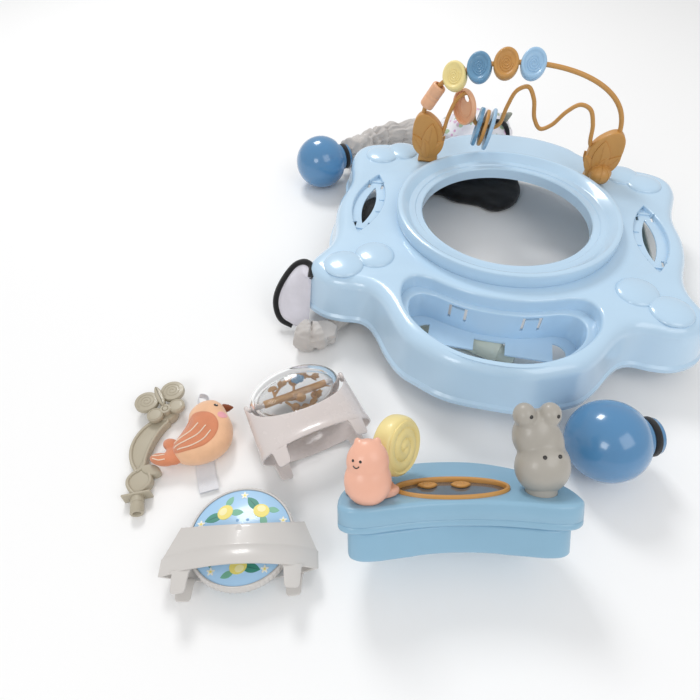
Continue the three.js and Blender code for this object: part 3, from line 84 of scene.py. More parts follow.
# %% Place the camera
tray_low, tray_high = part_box("tray")
tray_half_width = (tray_high.x - tray_low.x) / 2
front_share = 382 / 727  # the seat opening lies this share of the tray's depth from its front
tray_middle = Vector((
    (tray_low.x + tray_high.x) / 2, tray_low.y + front_share * (tray_high.y - tray_low.y), 0))
tray_front = tray_middle.y - tray_low.y
tray_back = tray_high.y - tray_middle.y

camera_from_opening = mm(-86.9, -863.7, 674)
camera_turns = (41.7, 0.2, 13)
camera_lens = 27.3
camera_data = bpy.data.cameras.new("photo_camera")
camera_data.lens = camera_lens
camera = bpy.data.objects.new("photo_camera", camera_data)
bpy.context.scene.collection.objects.link(camera)
camera.location = tray_middle + camera_from_opening
camera.rotation_euler = [math.radians(turn) for turn in camera_turns]
bpy.context.scene.camera = camera
print("camera at", tuple(round(value, 3) for value in camera.location))

# %% [markdown]
# ## Helpers
# Modelling by script is the same as modelling by hand: select one piece, run an operator, and
# apply the result. These few helpers keep each later step short. Everything is deselected before
# a primitive is added, because an operator acts on all that is selected. Small sizes are easiest
# to read in millimetres, so the second group of helpers turns them into Blender's metres.

# %% Select, name and settle a piece


def pick(*pieces):
    if bpy.context.object and bpy.context.object.mode != "OBJECT":
        bpy.ops.object.mode_set(mode="OBJECT")
    bpy.ops.object.select_all(action="DESELECT")
    for piece in pieces:
        piece.select_set(True)
    if pieces:
        bpy.context.view_layer.objects.active = pieces[0]


def settle(piece):
    pick(piece)
    bpy.ops.object.transform_apply(location=True, rotation=True, scale=True)
    return piece


def finish_with(piece, kind, **settings):
    pick(piece)
    modifier = piece.modifiers.new(kind.title(), kind)
    for key, value in settings.items():
        setattr(modifier, key, value)
    bpy.ops.object.modifier_apply(modifier=modifier.name)
    return piece


def face_outwards(piece):
    pick(piece)
    bpy.ops.object.mode_set(mode="EDIT")
    bpy.ops.mesh.select_all(action="SELECT")
    bpy.ops.mesh.remove_doubles(threshold=weld)
    bpy.ops.mesh.normals_make_consistent(inside=False)
    bpy.ops.object.mode_set(mode="OBJECT")
    return piece


def smooth(piece, angle=40):
    pick(piece)
    bpy.ops.object.shade_smooth_by_angle(angle=math.radians(angle))
    return piece


def rounded(piece, width, segments=3, angle=50):
    return finish_with(piece, "BEVEL", width=width, segments=segments, limit_method="ANGLE",
                       angle_limit=math.radians(angle), harden_normals=False)


def subdivided(piece, levels=2):
    return finish_with(piece, "SUBSURF", levels=levels, render_levels=levels)


def combined(piece, other, operation):
    finish_with(piece, "BOOLEAN", object=other, operation=operation, solver="EXACT")
    bpy.data.objects.remove(other)
    return piece


def cut(piece, cutter):
    return combined(piece, cutter, "DIFFERENCE")


def fused(piece, other):
    return combined(piece, other, "UNION")


def merged(name, pieces):
    pick(*pieces)
    if len(pieces) > 1:
        bpy.ops.object.join()
    whole = bpy.context.object
    whole.name = name
    return whole


def copied(piece, name):
    twin = piece.copy()
    twin.data = piece.data.copy()
    twin.name = name
    bpy.context.scene.collection.objects.link(twin)
    return twin


def placed(piece, matrix):
    piece.data.transform(matrix)
    piece.data.update()
    return piece


def kept_above(piece, level):
    for vertex in piece.data.vertices:
        vertex.co.z = max(vertex.co.z, level)
    return piece


# weld joins doubled points, core is the tiny ring at a turned form's middle, and gap is the
# clearance between two pieces
weld = 0.01 * MM
core = 0.3 * MM
gap = 0.3 * MM
print("helpers ready")

# %% Give sizes, places and turns


def mm_line(points):
    """A list of places given in millimetres. A pair lies flat, at no height."""
    return [mm(*point) if len(point) == 3 else mm(*point, 0) for point in points]


def mm_pairs(pairs):
    """A profile given in millimetres: how far out and how far up."""
    return [(out * MM, up * MM) for out, up in pairs]


def shift(place):
    return Matrix.Translation(place)


def turn_about(axis, degrees):
    return Matrix.Rotation(math.radians(degrees), 4, axis)


def facing(way, axis="Z", up="Y"):
    """The turn that points an axis of a piece along a way."""
    return way.to_track_quat(axis, up).to_matrix().to_4x4()


def turns_of(count):
    """Even turns once round, as angles."""
    return [2 * math.pi * step / count for step in range(count)]


def polar(radius, turn, height, squash=1):
    return (radius * math.cos(turn), squash * radius * math.sin(turn), height)


def quarter(edge, steps):
    """How far in and how far up each step of a quarter-round edge lies."""
    turns = [math.pi / 2 * step / steps for step in range(steps + 1)]
    return [(edge * (1 - math.sin(turn)), edge * (1 - math.cos(turn))) for turn in turns]


print("measures ready")

# %% [markdown]
# ## Building forms
# Most of this object is moulded plastic: its forms are outlines that rise, narrow and round over.
# A circle primitive is moved onto the first outline, and its edge is then extruded once for each
# further outline. The same helper makes turned forms, whose outlines are circles.

# %% Stack outlines into a form


def stacked(name, loops, close_ends=True):
    pick()
    bpy.ops.mesh.primitive_circle_add(vertices=len(loops[0]), fill_type="NOTHING")
    piece = bpy.context.object
    piece.name = name
    for vertex, place in zip(piece.data.vertices, loops[0]):
        vertex.co = place
    bpy.ops.object.mode_set(mode="EDIT")
    bpy.ops.mesh.select_all(action="SELECT")
    count = len(loops[0])
    for level, loop in enumerate(loops[1:], start=1):
        bpy.ops.mesh.extrude_region_move()
        mesh = bmesh.from_edit_mesh(piece.data)
        mesh.verts.ensure_lookup_table()
        for index, place in enumerate(loop):
            mesh.verts[level * count + index].co = place
    if close_ends:
        for level in (0, len(loops) - 1):
            mesh = bmesh.from_edit_mesh(piece.data)
            bpy.ops.mesh.select_all(action="DESELECT")
            mesh.verts.ensure_lookup_table()
            for index in range(count):
                mesh.verts[level * count + index].select_set(True)
            mesh.select_flush_mode()
            mesh.select_flush(True)
            bpy.ops.mesh.edge_face_add()
    bpy.ops.object.mode_set(mode="OBJECT")
    return face_outwards(piece)


def circle(radius, height, sides, squash=1):
    return [polar(radius, turn, height, squash) for turn in turns_of(sides)]


def turned(name, profile, sides=64):
    return stacked(name, [circle(radius, height, sides) for radius, height in profile])


def drum(name, radius, low, high, sides=64):
    return turned(name, [(radius, low), (radius, high)], sides)


def peg_form(name, radius, low, high, sides=32):
    """A round peg whose ends close on a tiny ring, so that no face is a long sliver."""
    return turned(name, [(core, low), (radius, low), (radius, high), (core, high)], sides)


def hoop_of(name, profile, sides=96):
    """A closed ring: the profile's points come back to the first one."""
    loops = [circle(radius, height, sides) for radius, height in profile]
    return stacked(name, loops + loops[:1], close_ends=False)


# %% Draw smooth outlines


def spline(points, count, closed=True):
    """A centripetal Catmull-Rom curve through the points, as count places."""
    nodes = [Vector(point) for point in points]
    if closed:
        nodes = [nodes[-1]] + nodes + nodes[:2]
    else:
        nodes = [2 * nodes[0] - nodes[1]] + nodes + [2 * nodes[-1] - nodes[-2]]
    spans = len(nodes) - 3
    places = []
    for step in range(count):
        reach = step * spans / (count if closed else count - 1)
        span = min(int(reach), spans - 1)
        a, b, c, d = nodes[span:span + 4]
        t0 = 0
        t1 = t0 + max((b - a).length, weld) ** 0.5
        t2 = t1 + max((c - b).length, weld) ** 0.5
        t3 = t2 + max((d - c).length, weld) ** 0.5
        t = t1 + (reach - span) * (t2 - t1)
        ab = a * (t1 - t) / (t1 - t0) + b * (t - t0) / (t1 - t0)
        bc = b * (t2 - t) / (t2 - t1) + c * (t - t1) / (t2 - t1)
        cd = c * (t3 - t) / (t3 - t2) + d * (t - t2) / (t3 - t2)
        abc = ab * (t2 - t) / (t2 - t0) + bc * (t - t0) / (t2 - t0)
        bcd = bc * (t3 - t) / (t3 - t1) + cd * (t - t1) / (t3 - t1)
        places.append(abc * (t2 - t) / (t2 - t1) + bcd * (t - t1) / (t2 - t1))
    return places


def anticlockwise(outline):
    area = sum(a[0] * b[1] - b[0] * a[1] for a, b in zip(outline, outline[1:] + outline[:1]))
    return list(outline) if area > 0 else list(outline)[::-1]


def grown(outline, distance):
    """The outline moved outwards by a distance, or inwards where it is negative."""
    places = []
    for index, point in enumerate(outline):
        before = outline[index - 1]
        after = outline[(index + 1) % len(outline)]
        run = Vector((after[0] - before[0], after[1] - before[1]))
        side = Vector((run.y, -run.x)).normalized()
        places.append(Vector((point[0] + distance * side.x, point[1] + distance * side.y, 0)))
    return eased(places, abs(distance))


def eased(outline, distance):
    """Softens the small folds that a wide inward move leaves in a tight corner."""
    rounds = int(distance / easing_step)
    places = [Vector(point) for point in outline]
    for _ in range(rounds):
        places = [
            (places[i - 1] + 2 * point + places[(i + 1) % len(places)]) / 4
            for i, point in enumerate(places)]
    return places


def shrunk(outline, distance):
    """The outline drawn smaller about its middle, by the distance at each extreme."""
    xs = [point[0] for point in outline]
    ys = [point[1] for point in outline]
    middle = Vector(((max(xs) + min(xs)) / 2, (max(ys) + min(ys)) / 2, 0))
    half = Vector(((max(xs) - min(xs)) / 2, (max(ys) - min(ys)) / 2, 1))
    return [
        Vector((middle.x + (point[0] - middle.x) * (1 - distance / half.x),
                middle.y + (point[1] - middle.y) * (1 - distance / half.y), 0))
        for point in outline]


def at_height(outline, height):
    return [(point[0], point[1], height) for point in outline]


def moved(outline, offset):
    return [point + offset for point in outline]


def pointed_oval(length, width, count=48):
    """Two arcs that meet in points, long along Y."""
    half = count // 2
    places = []
    for side in (1, -1):
        for step in range(half):
            share = side * (2 * step / half - 1)
            reach = side * (width / 2) * (1 - share * share)
            places.append(Vector((reach, (length / 2) * share, 0)))
    return places


def oval(length, width, count=64):
    return [Vector((length / 2 * math.cos(turn), width / 2 * math.sin(turn), 0))
            for turn in turns_of(count)]


def rounded_slab(name, outline, low, high, edge, steps=4, line=None):
    """An outline made solid, with quarter-round edges and, at a height, a fine parting line."""
    levels = [(low + rise, inset) for inset, rise in quarter(edge, steps)]
    if line:
        levels += [(line - line_size, 0), (line, line_size), (line + line_size, 0)]
    levels += [(high - rise, inset) for inset, rise in reversed(quarter(edge, steps))]
    return stacked(name, [at_height(grown(outline, -inset), height) for height, inset in levels])


def rod_along(name, places, radius, sides=4):
    """A round rod along a line of places, from a curve made into a mesh."""
    pick()
    bpy.ops.curve.primitive_nurbs_path_add()
    rod = bpy.context.object
    rod.name = name
    curve = rod.data
    curve.splines.clear()
    line = curve.splines.new("POLY")
    line.points.add(len(places) - 1)
    for point, place in zip(line.points, places):
        point.co = (*place, 1)
    curve.bevel_depth = radius
    curve.bevel_resolution = sides
    curve.use_fill_caps = True
    bpy.ops.object.convert(target="MESH")
    return face_outwards(bpy.context.object)


def ball(name, radii, place=(0, 0, 0), segments=40, rings=24):
    pick()
    bpy.ops.mesh.primitive_uv_sphere_add(segments=segments, ring_count=rings)
    piece = bpy.context.object
    piece.name = name
    piece.scale = radii
    piece.location = place
    return settle(piece)


easing_step = 6 * MM
line_size = 0.5 * MM
print("form builders ready")

# %% [markdown]
# ## Plastics
# The tray, toys and legs are injection-moulded: an even colour with a soft gloss. Up close such a
# surface is not perfect, so a fine grain lifts it, and the gloss and the tone both drift a little.
# Object coordinates keep the grain at its real size.

# %% Mix the plastic materials


def node_tree(name):
    material = bpy.data.materials.new(name)
    material.use_nodes = True
    tree = material.node_tree
    return material, tree, tree.nodes["Principled BSDF"]


def linear(code):
    """A colour code such as bbd9f0 as scene-linear red, green and blue."""
    shares = [int(code[start:start + 2], 16) / 255 for start in (0, 2, 4)]
    return tuple(((share + 0.055) / 1.055) ** 2.4 if share > 0.04045 else share / 12.92
                 for share in shares)


def filled(node, values):
    """Sets a node's inputs by name: a socket is linked, and any other value is typed in."""
    for name, value in values.items():
        if isinstance(value, bpy.types.NodeSocket):
            node.id_data.links.new(value, node.inputs[name])
        else:
            node.inputs[name].default_value = value
    return node


def added(tree, kind, values):
    return filled(tree.nodes.new("ShaderNode" + kind), values)


def place_on(tree):
    return added(tree, "TexCoord", {}).outputs["Object"]


def noise_at(tree, scale, detail=3.0):
    values = {"Vector": place_on(tree), "Scale": scale, "Detail": detail}
    return added(tree, "TexNoise", values).outputs["Fac"]


def ramp(tree, value, low, high, start=0.35, end=0.65):
    mixer = tree.nodes.new("ShaderNodeValToRGB")
    mixer.color_ramp.elements[0].position = start
    mixer.color_ramp.elements[1].position = end
    mixer.color_ramp.elements[0].color = (*low, 1)
    mixer.color_ramp.elements[1].color = (*high, 1)
    tree.links.new(value, mixer.inputs["Fac"])
    return mixer.outputs["Color"]


def range_of(tree, value, low, high):
    values = {"Value": value, "To Min": low, "To Max": high}
    return added(tree, "MapRange", values).outputs["Result"]


def bump_of(tree, height, strength, distance):
    values = {"Height": height, "Strength": strength, "Distance": distance}
    return added(tree, "Bump", values).outputs["Normal"]


def plastic(name, code, roughness, gloss_coat=0.0, grain=0.15, mottle=0.04, glow=0.0):
    material, tree, shader = node_tree(name)
    colour = linear(code)
    paler = tuple(min(1, channel * (1 + mottle) + mottle * 0.1) for channel in colour)
    deeper = tuple(channel * (1 - mottle) for channel in colour)
    filled(shader, {
        "Base Color": ramp(tree, noise_at(tree, 9.0), deeper, paler),
        "Roughness": range_of(tree, noise_at(tree, 60.0), roughness * 0.85, roughness * 1.2),
        "Normal": bump_of(tree, noise_at(tree, 900.0, 2.0), grain, 0.2 * MM),
        "Coat Weight": gloss_coat, "Coat Roughness": 0.08, "Specular IOR Level": 0.5,
        "Subsurface Weight": glow, "Subsurface Radius": (4 * MM, 3 * MM, 2 * MM)})
    return material


sky_plastic = plastic("tray_plastic", "bcd8ee", 0.24, 0.55, 0.05, 0.02)
denim_plastic = plastic("leg_top_plastic", "5086b3", 0.2, 0.6, 0.05, 0.03)
sage_plastic = plastic("leg_tube_plastic", "c4cbbe", 0.35, 0.2, 0.1)
ochre_plastic = plastic("ochre_plastic", "c48f4a", 0.42, 0.12, 0.3, 0.05)
peach_plastic = plastic("peach_plastic", "e6b089", 0.42, 0.12, 0.3, 0.04)
butter_plastic = plastic("butter_plastic", "efdc97", 0.4, 0.15, 0.25, 0.04)
slate_plastic = plastic("slate_plastic", "6796b8", 0.35, 0.25, 0.25, 0.05)
bead_sky_plastic = plastic("bead_sky_plastic", "9bc0de", 0.35, 0.25, 0.25, 0.04)
pool_plastic = plastic("console_plastic", "8cb5ce", 0.34, 0.25, 0.2, 0.03)
stone_plastic = plastic("bracket_plastic", "cfcbc7", 0.32, 0.3, 0.1, 0.02)
blush_plastic = plastic("housing_plastic", "d8cfcc", 0.26, 0.4, 0.06, 0.02)
sand_plastic = plastic("stalk_plastic", "b5ac98", 0.42, 0.15, 0.2, 0.04)
coral_plastic = plastic("snail_plastic", "efb59c", 0.36, 0.2, 0.15, 0.03)
hide_plastic = plastic("hippo_plastic", "aca79e", 0.36, 0.2, 0.15, 0.03)
ink_plastic = plastic("ink", "26221f", 0.3, 0.3, 0.05)
window_plastic = plastic("window_plastic", "5f6266", 0.12, 0.8, 0.02)
print("plastics:", len(bpy.data.materials))

# %% [markdown]
# ## The tray
# One big moulding: a deck with a raised ring round the seat opening, a kidney-shaped pocket in
# front, a slotted recess on each side and pairs of low domes at the corners. Its outline is drawn
# as shares of the tray's own width and reach, so it follows the CAD box. The skirt and its rounded
# edge are stacked outlines; the inside is cut out with a smaller copy to leave a thin wall.

# %% Outline, skirt and inside of the tray
tray_outline_shares = [
    (0, -1), (0.18, -0.99), (0.31, -0.945), (0.395, -0.905), (0.47, -0.832), (0.55, -0.72),
    (0.595, -0.675), (0.645, -0.655), (0.735, -0.66), (0.825, -0.652), (0.91, -0.613),
    (0.965, -0.56), (0.977, -0.49), (0.955, -0.43), (0.918, -0.355), (0.92, -0.25),
    (0.955, -0.12), (0.965, 0.03), (0.948, 0.16), (0.955, 0.26), (0.978, 0.36), (1, 0.46),
    (0.99, 0.565), (0.937, 0.645), (0.84, 0.695), (0.73, 0.715), (0.6, 0.74), (0.48, 0.815),
    (0.42, 0.88), (0.29, 0.95), (0.15, 0.99), (0, 1)]
tray_wall = 3 * MM
lip_height = tray_low.z
lip_band = 10 * MM
lip_out = 4 * MM
skirt_draft = 9 * MM
edge_radius = 22 * MM
deck_height = tray_high.z - 24 * MM


def full_outline(half_points, count):
    mirrored = [(-x, y) for x, y in reversed(half_points[1:-1])]
    return spline([(x, y, 0) for x, y in half_points + mirrored], count)


tray_outline = full_outline([
    (across * tray_half_width, along * (tray_front if along < 0 else tray_back))
    for across, along in tray_outline_shares], 300)


def tray_form(name, inset, bottom):
    levels = [(bottom, lip_out)]
    if not inset:
        lip_round = 2 * MM
        levels = [
            (bottom, lip_round / 2), (bottom + lip_round / 2, 0),
            (bottom + lip_band - lip_round, 0), (bottom + lip_band, lip_round),
            (bottom + lip_band + lip_round, lip_out)]
    for drop, draw in quarter(edge_radius, 8):
        levels.append((deck_height - inset - drop, lip_out + skirt_draft + draw))
    return stacked(name, [
        at_height(grown(tray_outline, -distance - inset), height) for height, distance in levels])


tray = tray_form("tray_shell", 0, lip_height)
cavity_depth = 20 * MM
cut(tray, tray_form("tray_inside", tray_wall, lip_height - cavity_depth))
print("tray skin:", len(tray.data.polygons), "faces")

# %% [markdown]
# The ring round the opening is a turned form: a narrow ledge where the seat hangs, a slope up to
# a raised edge, and a plain outer wall. The deck inside it is cut away first.

# %% Seat ring
opening_radius = 150 * MM
ring_outer = 196 * MM
rim_height = deck_height + 9 * MM
edge_height = tray_high.z
ring_outside_shares = [
    (0, -2.2), (0, -0.2), (0.04, 0), (0.25, 0.02), (0.29, 0.16), (0.33, 0.18), (0.52, 0.18),
    (0.56, 0.26), (0.78, 0.94), (0.83, 1.0), (0.93, 1.0), (0.975, 0.93), (1, 0.8), (1, -0.7)]
ring_span = ring_outer - opening_radius
ring_rise = edge_height - rim_height
ring_profile = [
    (opening_radius + across * ring_span, rim_height + up * (ring_rise if up > 0 else 9 * MM))
    for across, up in ring_outside_shares]
ring_inside = [
    (ring_outer - tray_wall, deck_height - tray_wall),
    (ring_outer - tray_wall, edge_height - 2 * tray_wall),
    (ring_outer - 3 * tray_wall, edge_height - tray_wall),
    (opening_radius + ring_span * 0.6, rim_height),
    (opening_radius + tray_wall, rim_height - tray_wall),
    (opening_radius + tray_wall, rim_height - 20 * MM)]
cut(tray, drum("deck_hole", ring_outer - tray_wall / 2, 0, tray_high.z, 128))
ring = hoop_of("seat_ring", ring_profile + ring_inside, 160)
fused(tray, ring)
print("ring joined:", len(tray.data.polygons), "faces")

# %% [markdown]
# The kidney pocket takes the console toy. Its cutter has a flared top, so that the pocket's
# mouth comes out softly rounded, and a step for the ledge inside. A slightly larger block is
# added below the deck first, to leave walls round the pocket.

# %% Kidney pocket
pocket_outline_shares = [
    (0, 0), (0.3, -0.03), (0.55, -0.115), (0.75, -0.2), (0.9, -0.195), (0.99, -0.07), (1, 0.12),
    (0.95, 0.33), (0.77, 0.63), (0.51, 0.86), (0.27, 0.97), (0, 1)]
pocket_rear = ring_outer + 27 * MM
pocket_depth = 128 * MM
pocket_half_width = 150 * MM
ledge_height = deck_height - 25 * MM
ledge_width = 11 * MM
mouth_round = 6 * MM
pocket_floor = lip_height + tray_wall
pocket_outline = full_outline([
    (-across * pocket_half_width, -pocket_rear - along * pocket_depth)
    for across, along in pocket_outline_shares], 160)
pocket_inner = shrunk(pocket_outline, ledge_width)
above = 5 * MM


def flared_cutter(name, outline, floor, mouth, round_width):
    loops = [at_height(outline, floor)]
    for drop, flare in quarter(round_width, 4):
        loops.append(at_height(grown(outline, flare), mouth - drop))
    loops.append(at_height(grown(outline, round_width), mouth + above))
    return stacked(name, loops)


def plain_block(name, outline, low, high):
    return stacked(name, [at_height(outline, low), at_height(outline, high)])


fused(tray, plain_block("pocket_walls", grown(pocket_outline, mouth_round + tray_wall),
                        ledge_height - tray_wall, deck_height - tray_wall / 2))
fused(tray, plain_block("pocket_sump", grown(pocket_inner, tray_wall), lip_height, ledge_height))
cut(tray, flared_cutter("pocket_mouth", pocket_outline, ledge_height, deck_height, mouth_round))
ledge_round = 3 * MM
cut(tray, flared_cutter("pocket_well", shrunk(pocket_inner, ledge_round), pocket_floor,
                        ledge_height, ledge_round))
floor_border = 20 * MM
floor_hole = plain_block("floor_hole", shrunk(pocket_inner, floor_border), lip_height - above,
                         pocket_floor + above)
shoulder_size = mm(74, 128, 30)
shoulder_x = 62 * MM
shoulder_y = -pocket_rear - ledge_width - floor_border - 14 * MM + shoulder_size.y / 2
tab_size = mm(24, 24, 30)
tab_x = 80 * MM
tab_y = -pocket_rear - pocket_depth * 0.72


def block(name, size, place):
    pick()
    bpy.ops.mesh.primitive_cube_add(size=1, location=place)
    piece = bpy.context.object
    piece.name = name
    piece.scale = size
    return settle(piece)


for side in (-1, 1):
    cut(floor_hole, block("shoulder", shoulder_size, (side * shoulder_x, shoulder_y, lip_height)))
    cut(floor_hole, block("tab", tab_size, (side * tab_x, tab_y, lip_height)))
cut(tray, floor_hole)
print("pocket cut:", len(tray.data.polygons), "faces")

# %% [markdown]
# In the pocket's rear wall are two snap windows: a slot across the top and one down each side
# leave a springy tongue. Three thin cutters per window make them.

# %% Snap windows
window_x = 58 * MM
window_width = 30 * MM
window_height = 25 * MM
slot_width = 4.5 * MM
window_depth = 44 * MM
window_top = ledge_height - tray_wall - slot_width
window_y = -pocket_rear - ledge_width + 13 * MM
for side in (-1, 1):
    middle = side * window_x
    cut(tray, block("window_top", (window_width, window_depth, slot_width),
                    (middle, window_y, window_top)))
    for edge in (-1, 1):
        cut(tray, block(
            "window_side", (slot_width, window_depth, window_height),
            (middle + edge * (window_width - slot_width) / 2, window_y,
             window_top - window_height / 2)))
print("windows cut:", len(tray.data.polygons), "faces")

# %% [markdown]
# On each side a pointed-oval recess holds a toy. It has a long slot in its floor, a raised bar
# and two slits near each end, and two small ticks. The low domes at the corners are flattened
# spheres that are joined to the deck.

# %% Side recesses and corner domes
lens_x = 250 * MM
lens_y = -5 * MM
lens_length = 196 * MM
lens_width = 56 * MM
lens_depth = 8 * MM
lens_round = 2.5 * MM
lens_slot_length = 122 * MM
lens_slot_width = 21 * MM
slit_size = mm(5, 15, 24)
bar_size = mm(40, 4, 5)
tick_size = mm(8, 3, 4)
lens_floor = deck_height - lens_depth
for side in (-1, 1):
    middle = Vector((side * lens_x, lens_y, 0))
    outline = moved(pointed_oval(lens_length, lens_width, 64), middle)
    fused(tray, plain_block("lens_backing", grown(outline, 2 * tray_wall),
                            lens_floor - tray_wall, deck_height - tray_wall / 2))
    cut(tray, flared_cutter("lens_recess", outline, lens_floor, deck_height, lens_round))
    slot = moved(pointed_oval(lens_slot_length, lens_slot_width, 48), middle)
    cut(tray, flared_cutter("lens_slot", slot, lens_floor - 4 * tray_wall, lens_floor,
                            lens_round / 2))
    for end in (-1, 1):
        bar_y = lens_y + end * (lens_slot_length / 2 + 17 * MM)
        fused(tray, block("lens_bar", (bar_size.x * 0.5, bar_size.y, bar_size.z),
                          (side * lens_x, bar_y, lens_floor)))
        tick_place = (side * (lens_x - lens_width * 0.36), lens_y + end * lens_slot_length * 0.16,
                      lens_floor)
        fused(tray, block("lens_tick", tick_size, tick_place))
        for across in (-1, 1):
            cut(tray, block("lens_slit", slit_size, (
                side * lens_x + across * lens_width * 0.23,
                lens_y + end * (lens_slot_length / 2 + 4 * MM), lens_floor)))
bump_shares = [(0.76, -0.515), (0.625, -0.425), (0.775, 0.49), (0.66, 0.56)]
bump_radius = 33 * MM
bump_height = 9 * MM
for across, along in bump_shares:
    reach = tray_front if along < 0 else tray_back
    for side in (-1, 1):
        place = (side * across * tray_half_width, along * reach, deck_height)
        fused(tray, ball("dome", (bump_radius, bump_radius, bump_height), place, 48, 16))
print("recesses and domes:", len(tray.data.polygons), "faces")

# %% Settle and paint the tray


def dress(piece, body, slot, material, nodes=()):
    """Gives a finished piece its material and its body, and hides the CAD nodes it stands for. The
    slot is not used.
    """
    piece.data.materials.clear()
    piece.data.materials.append(material)
    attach(piece, body)
    if nodes:
        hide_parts(*nodes)
    return piece


def finished(piece, spot, angle, *dressing):
    """Moves a piece to its spot, smooths it up to an angle and dresses it."""
    return dress(smooth(placed(piece, spot), angle), *dressing)


edge_soft = 0.9 * MM
rounded(tray, edge_soft, 2, 38)
placed(tray, shift(tray_middle))
smooth(tray, 32)
dress(tray, "base", "tray_blue", sky_plastic, ["tray"])
print("tray:", len(tray.data.polygons), "faces, box", [round(v, 3) for v in tray.dimensions])

# %% [markdown]
# ## Bead arch
# Two leaf-shaped feet plug into the deck. A thick rod arches high between them and a thinner wire
# waves along below it. Both are drawn as smooth lines first and then given a round section, since
# a bent rod is one even thickness all the way. The leaves are flat outlines with soft edges, and
# raised ribs give them the moulded veins of the real ones.

# %% Rod, wire and leaf feet
arch_y = 168 * MM
foot_x = 163 * MM
arch_base = 80 * MM
arch_rise = 121 * MM
arch_spread = 181 * MM
arch_fullness = 0.8
rod_radius = 4.2 * MM
wire_radius = 3.8 * MM
wire_rise = 176 * MM
leaf_height = 98 * MM
leaf_width = 58 * MM
leaf_thickness = 20 * MM
leaf_lean = 10 * MM
leaf_shares = [
    (0.32, 0), (0.31, 0.1), (0.29, 0.2), (0.42, 0.33), (0.5, 0.5), (0.48, 0.7), (0.39, 0.87),
    (0.24, 0.97), (0.1, 1), (-0.08, 0.98), (-0.28, 0.9), (-0.44, 0.79), (-0.54, 0.63),
    (-0.52, 0.45), (-0.44, 0.27), (-0.34, 0.13), (-0.32, 0)]
wire_shares = [
    (-0.97, 0.2), (-0.87, 0.3), (-0.81, 0.55), (-0.73, 0.74), (-0.63, 0.8), (-0.55, 0.66),
    (-0.485, 0.492), (-0.385, 0.477), (-0.285, 0.462), (-0.215, 0.51), (-0.17, 0.7), (-0.1, 0.87),
    (0.01, 0.915), (0.1, 0.8), (0.16, 0.6), (0.25, 0.5), (0.36, 0.55), (0.48, 0.7), (0.6, 0.785),
    (0.72, 0.75), (0.8, 0.6), (0.85, 0.38), (0.97, 0.28)]
# each raised leaf's lean in degrees, its share of the foot's height and its rise in millimetres
leaf_fan = [(-38, 0.52, 1.4), (34, 0.58, 1.9), (-4, 0.74, 2.4), (10, 0.42, 3.2)]
opening = shift(tray_middle)


def arch_point(share):
    angle = math.pi * share
    height = arch_rise * max(math.sin(angle), 0) ** arch_fullness
    return Vector((-arch_spread * math.cos(angle), arch_y, deck_height + arch_base + height))


def arch_slope(share):
    step = 0.003
    run = arch_point(share + step) - arch_point(share - step)
    return math.degrees(math.atan2(run.z, run.x))


arch_line = [arch_point(step / 90) for step in range(91)]
sunk = Vector((0, 0, leaf_height * 0.3))
arch_line = [arch_line[0] - sunk] + arch_line + [arch_line[-1] - sunk]
arch_rod = rod_along("arch_rod", arch_line, rod_radius, 5)
wire_line = spline([
    (across * foot_x, arch_y, deck_height + along * wire_rise) for across, along in wire_shares],
    190, closed=False)
arch_wire = rod_along("arch_wire", wire_line, wire_radius, 4)
print("arch rod and wire:", len(arch_rod.data.polygons), len(arch_wire.data.polygons))


def leaf_foot(side):
    """A foot like a bunch of leaves: one outline, with a fan of raised leaves on each face."""
    outline = anticlockwise(spline([
        (side * (across * leaf_width + along * leaf_lean), along * leaf_height, 0)
        for across, along in leaf_shares], 120))
    outline = [Vector((point.x, max(point.y, 0), 0)) for point in outline]
    half = leaf_thickness / 2
    parts = [rounded_slab("leaf", outline, -half, half, 3.6 * MM)]
    for face in (-1, 1):
        for lean, share, proud in leaf_fan:
            length = leaf_height * share
            single = rounded_slab("single", pointed_oval(length, length * 0.42, 40),
                                  -1.6 * MM, proud * MM, 0.8 * MM, 2)
            rib = rod_along("midrib", [Vector((0, length * step, proud * MM))
                                       for step in (-0.38, 0, 0.38)], 0.8 * MM, 2)
            single = merged("single", [single, rib])
            placed(single, shift((side * 2 * MM, leaf_height * 0.1, face * half))
                   @ turn_about("Y", 0 if face > 0 else 180) @ turn_about("Z", -face * side * lean)
                   @ shift((0, length / 2, 0)))
            parts.append(single)
    leaf = merged("leaf", parts)
    placed(leaf, turn_about("X", 90))
    placed(leaf, shift((side * foot_x, arch_y, deck_height + weld * 30)))
    return smooth(leaf, 38)


peg_size = mm(22, 10, 14)
arch_parts = [arch_rod, arch_wire]
for side in (-1, 1):
    arch_parts.append(leaf_foot(side))
    peg = block("peg", peg_size, (side * foot_x, arch_y, deck_height - peg_size.z / 2))
    arch_parts.append(rounded(peg, 1.5 * MM))
knob_radius = 20 * MM
knob_place = Vector((foot_x + leaf_width * 0.12, arch_y - leaf_thickness * 0.7,
                     deck_height + knob_radius * 0.92))
knob = ball("foot_knob", (knob_radius, knob_radius, knob_radius * 0.9), knob_place, 48, 24)
groove_count = 8
knob_parts = [knob]
for turn in turns_of(groove_count):
    rib_line = []
    for step in range(13):
        tilt = math.pi * (0.06 + 0.8 * step / 12)
        rib_line.append(knob_place + Vector(polar(
            knob_radius * 1.01 * math.sin(tilt), turn, knob_radius * 0.91 * math.cos(tilt))))
    knob_parts.append(rod_along("knob_rib", rib_line, 0.9 * MM))
arch_parts.append(smooth(merged("foot_knob", knob_parts)))
for part in arch_parts[:2]:
    smooth(part)
bead_arch = placed(merged("bead_arch", arch_parts), opening)
dress(bead_arch, "arch", "ochre", ochre_plastic, ["arch_frame"])
print("arch:", len(bead_arch.data.polygons), "faces")

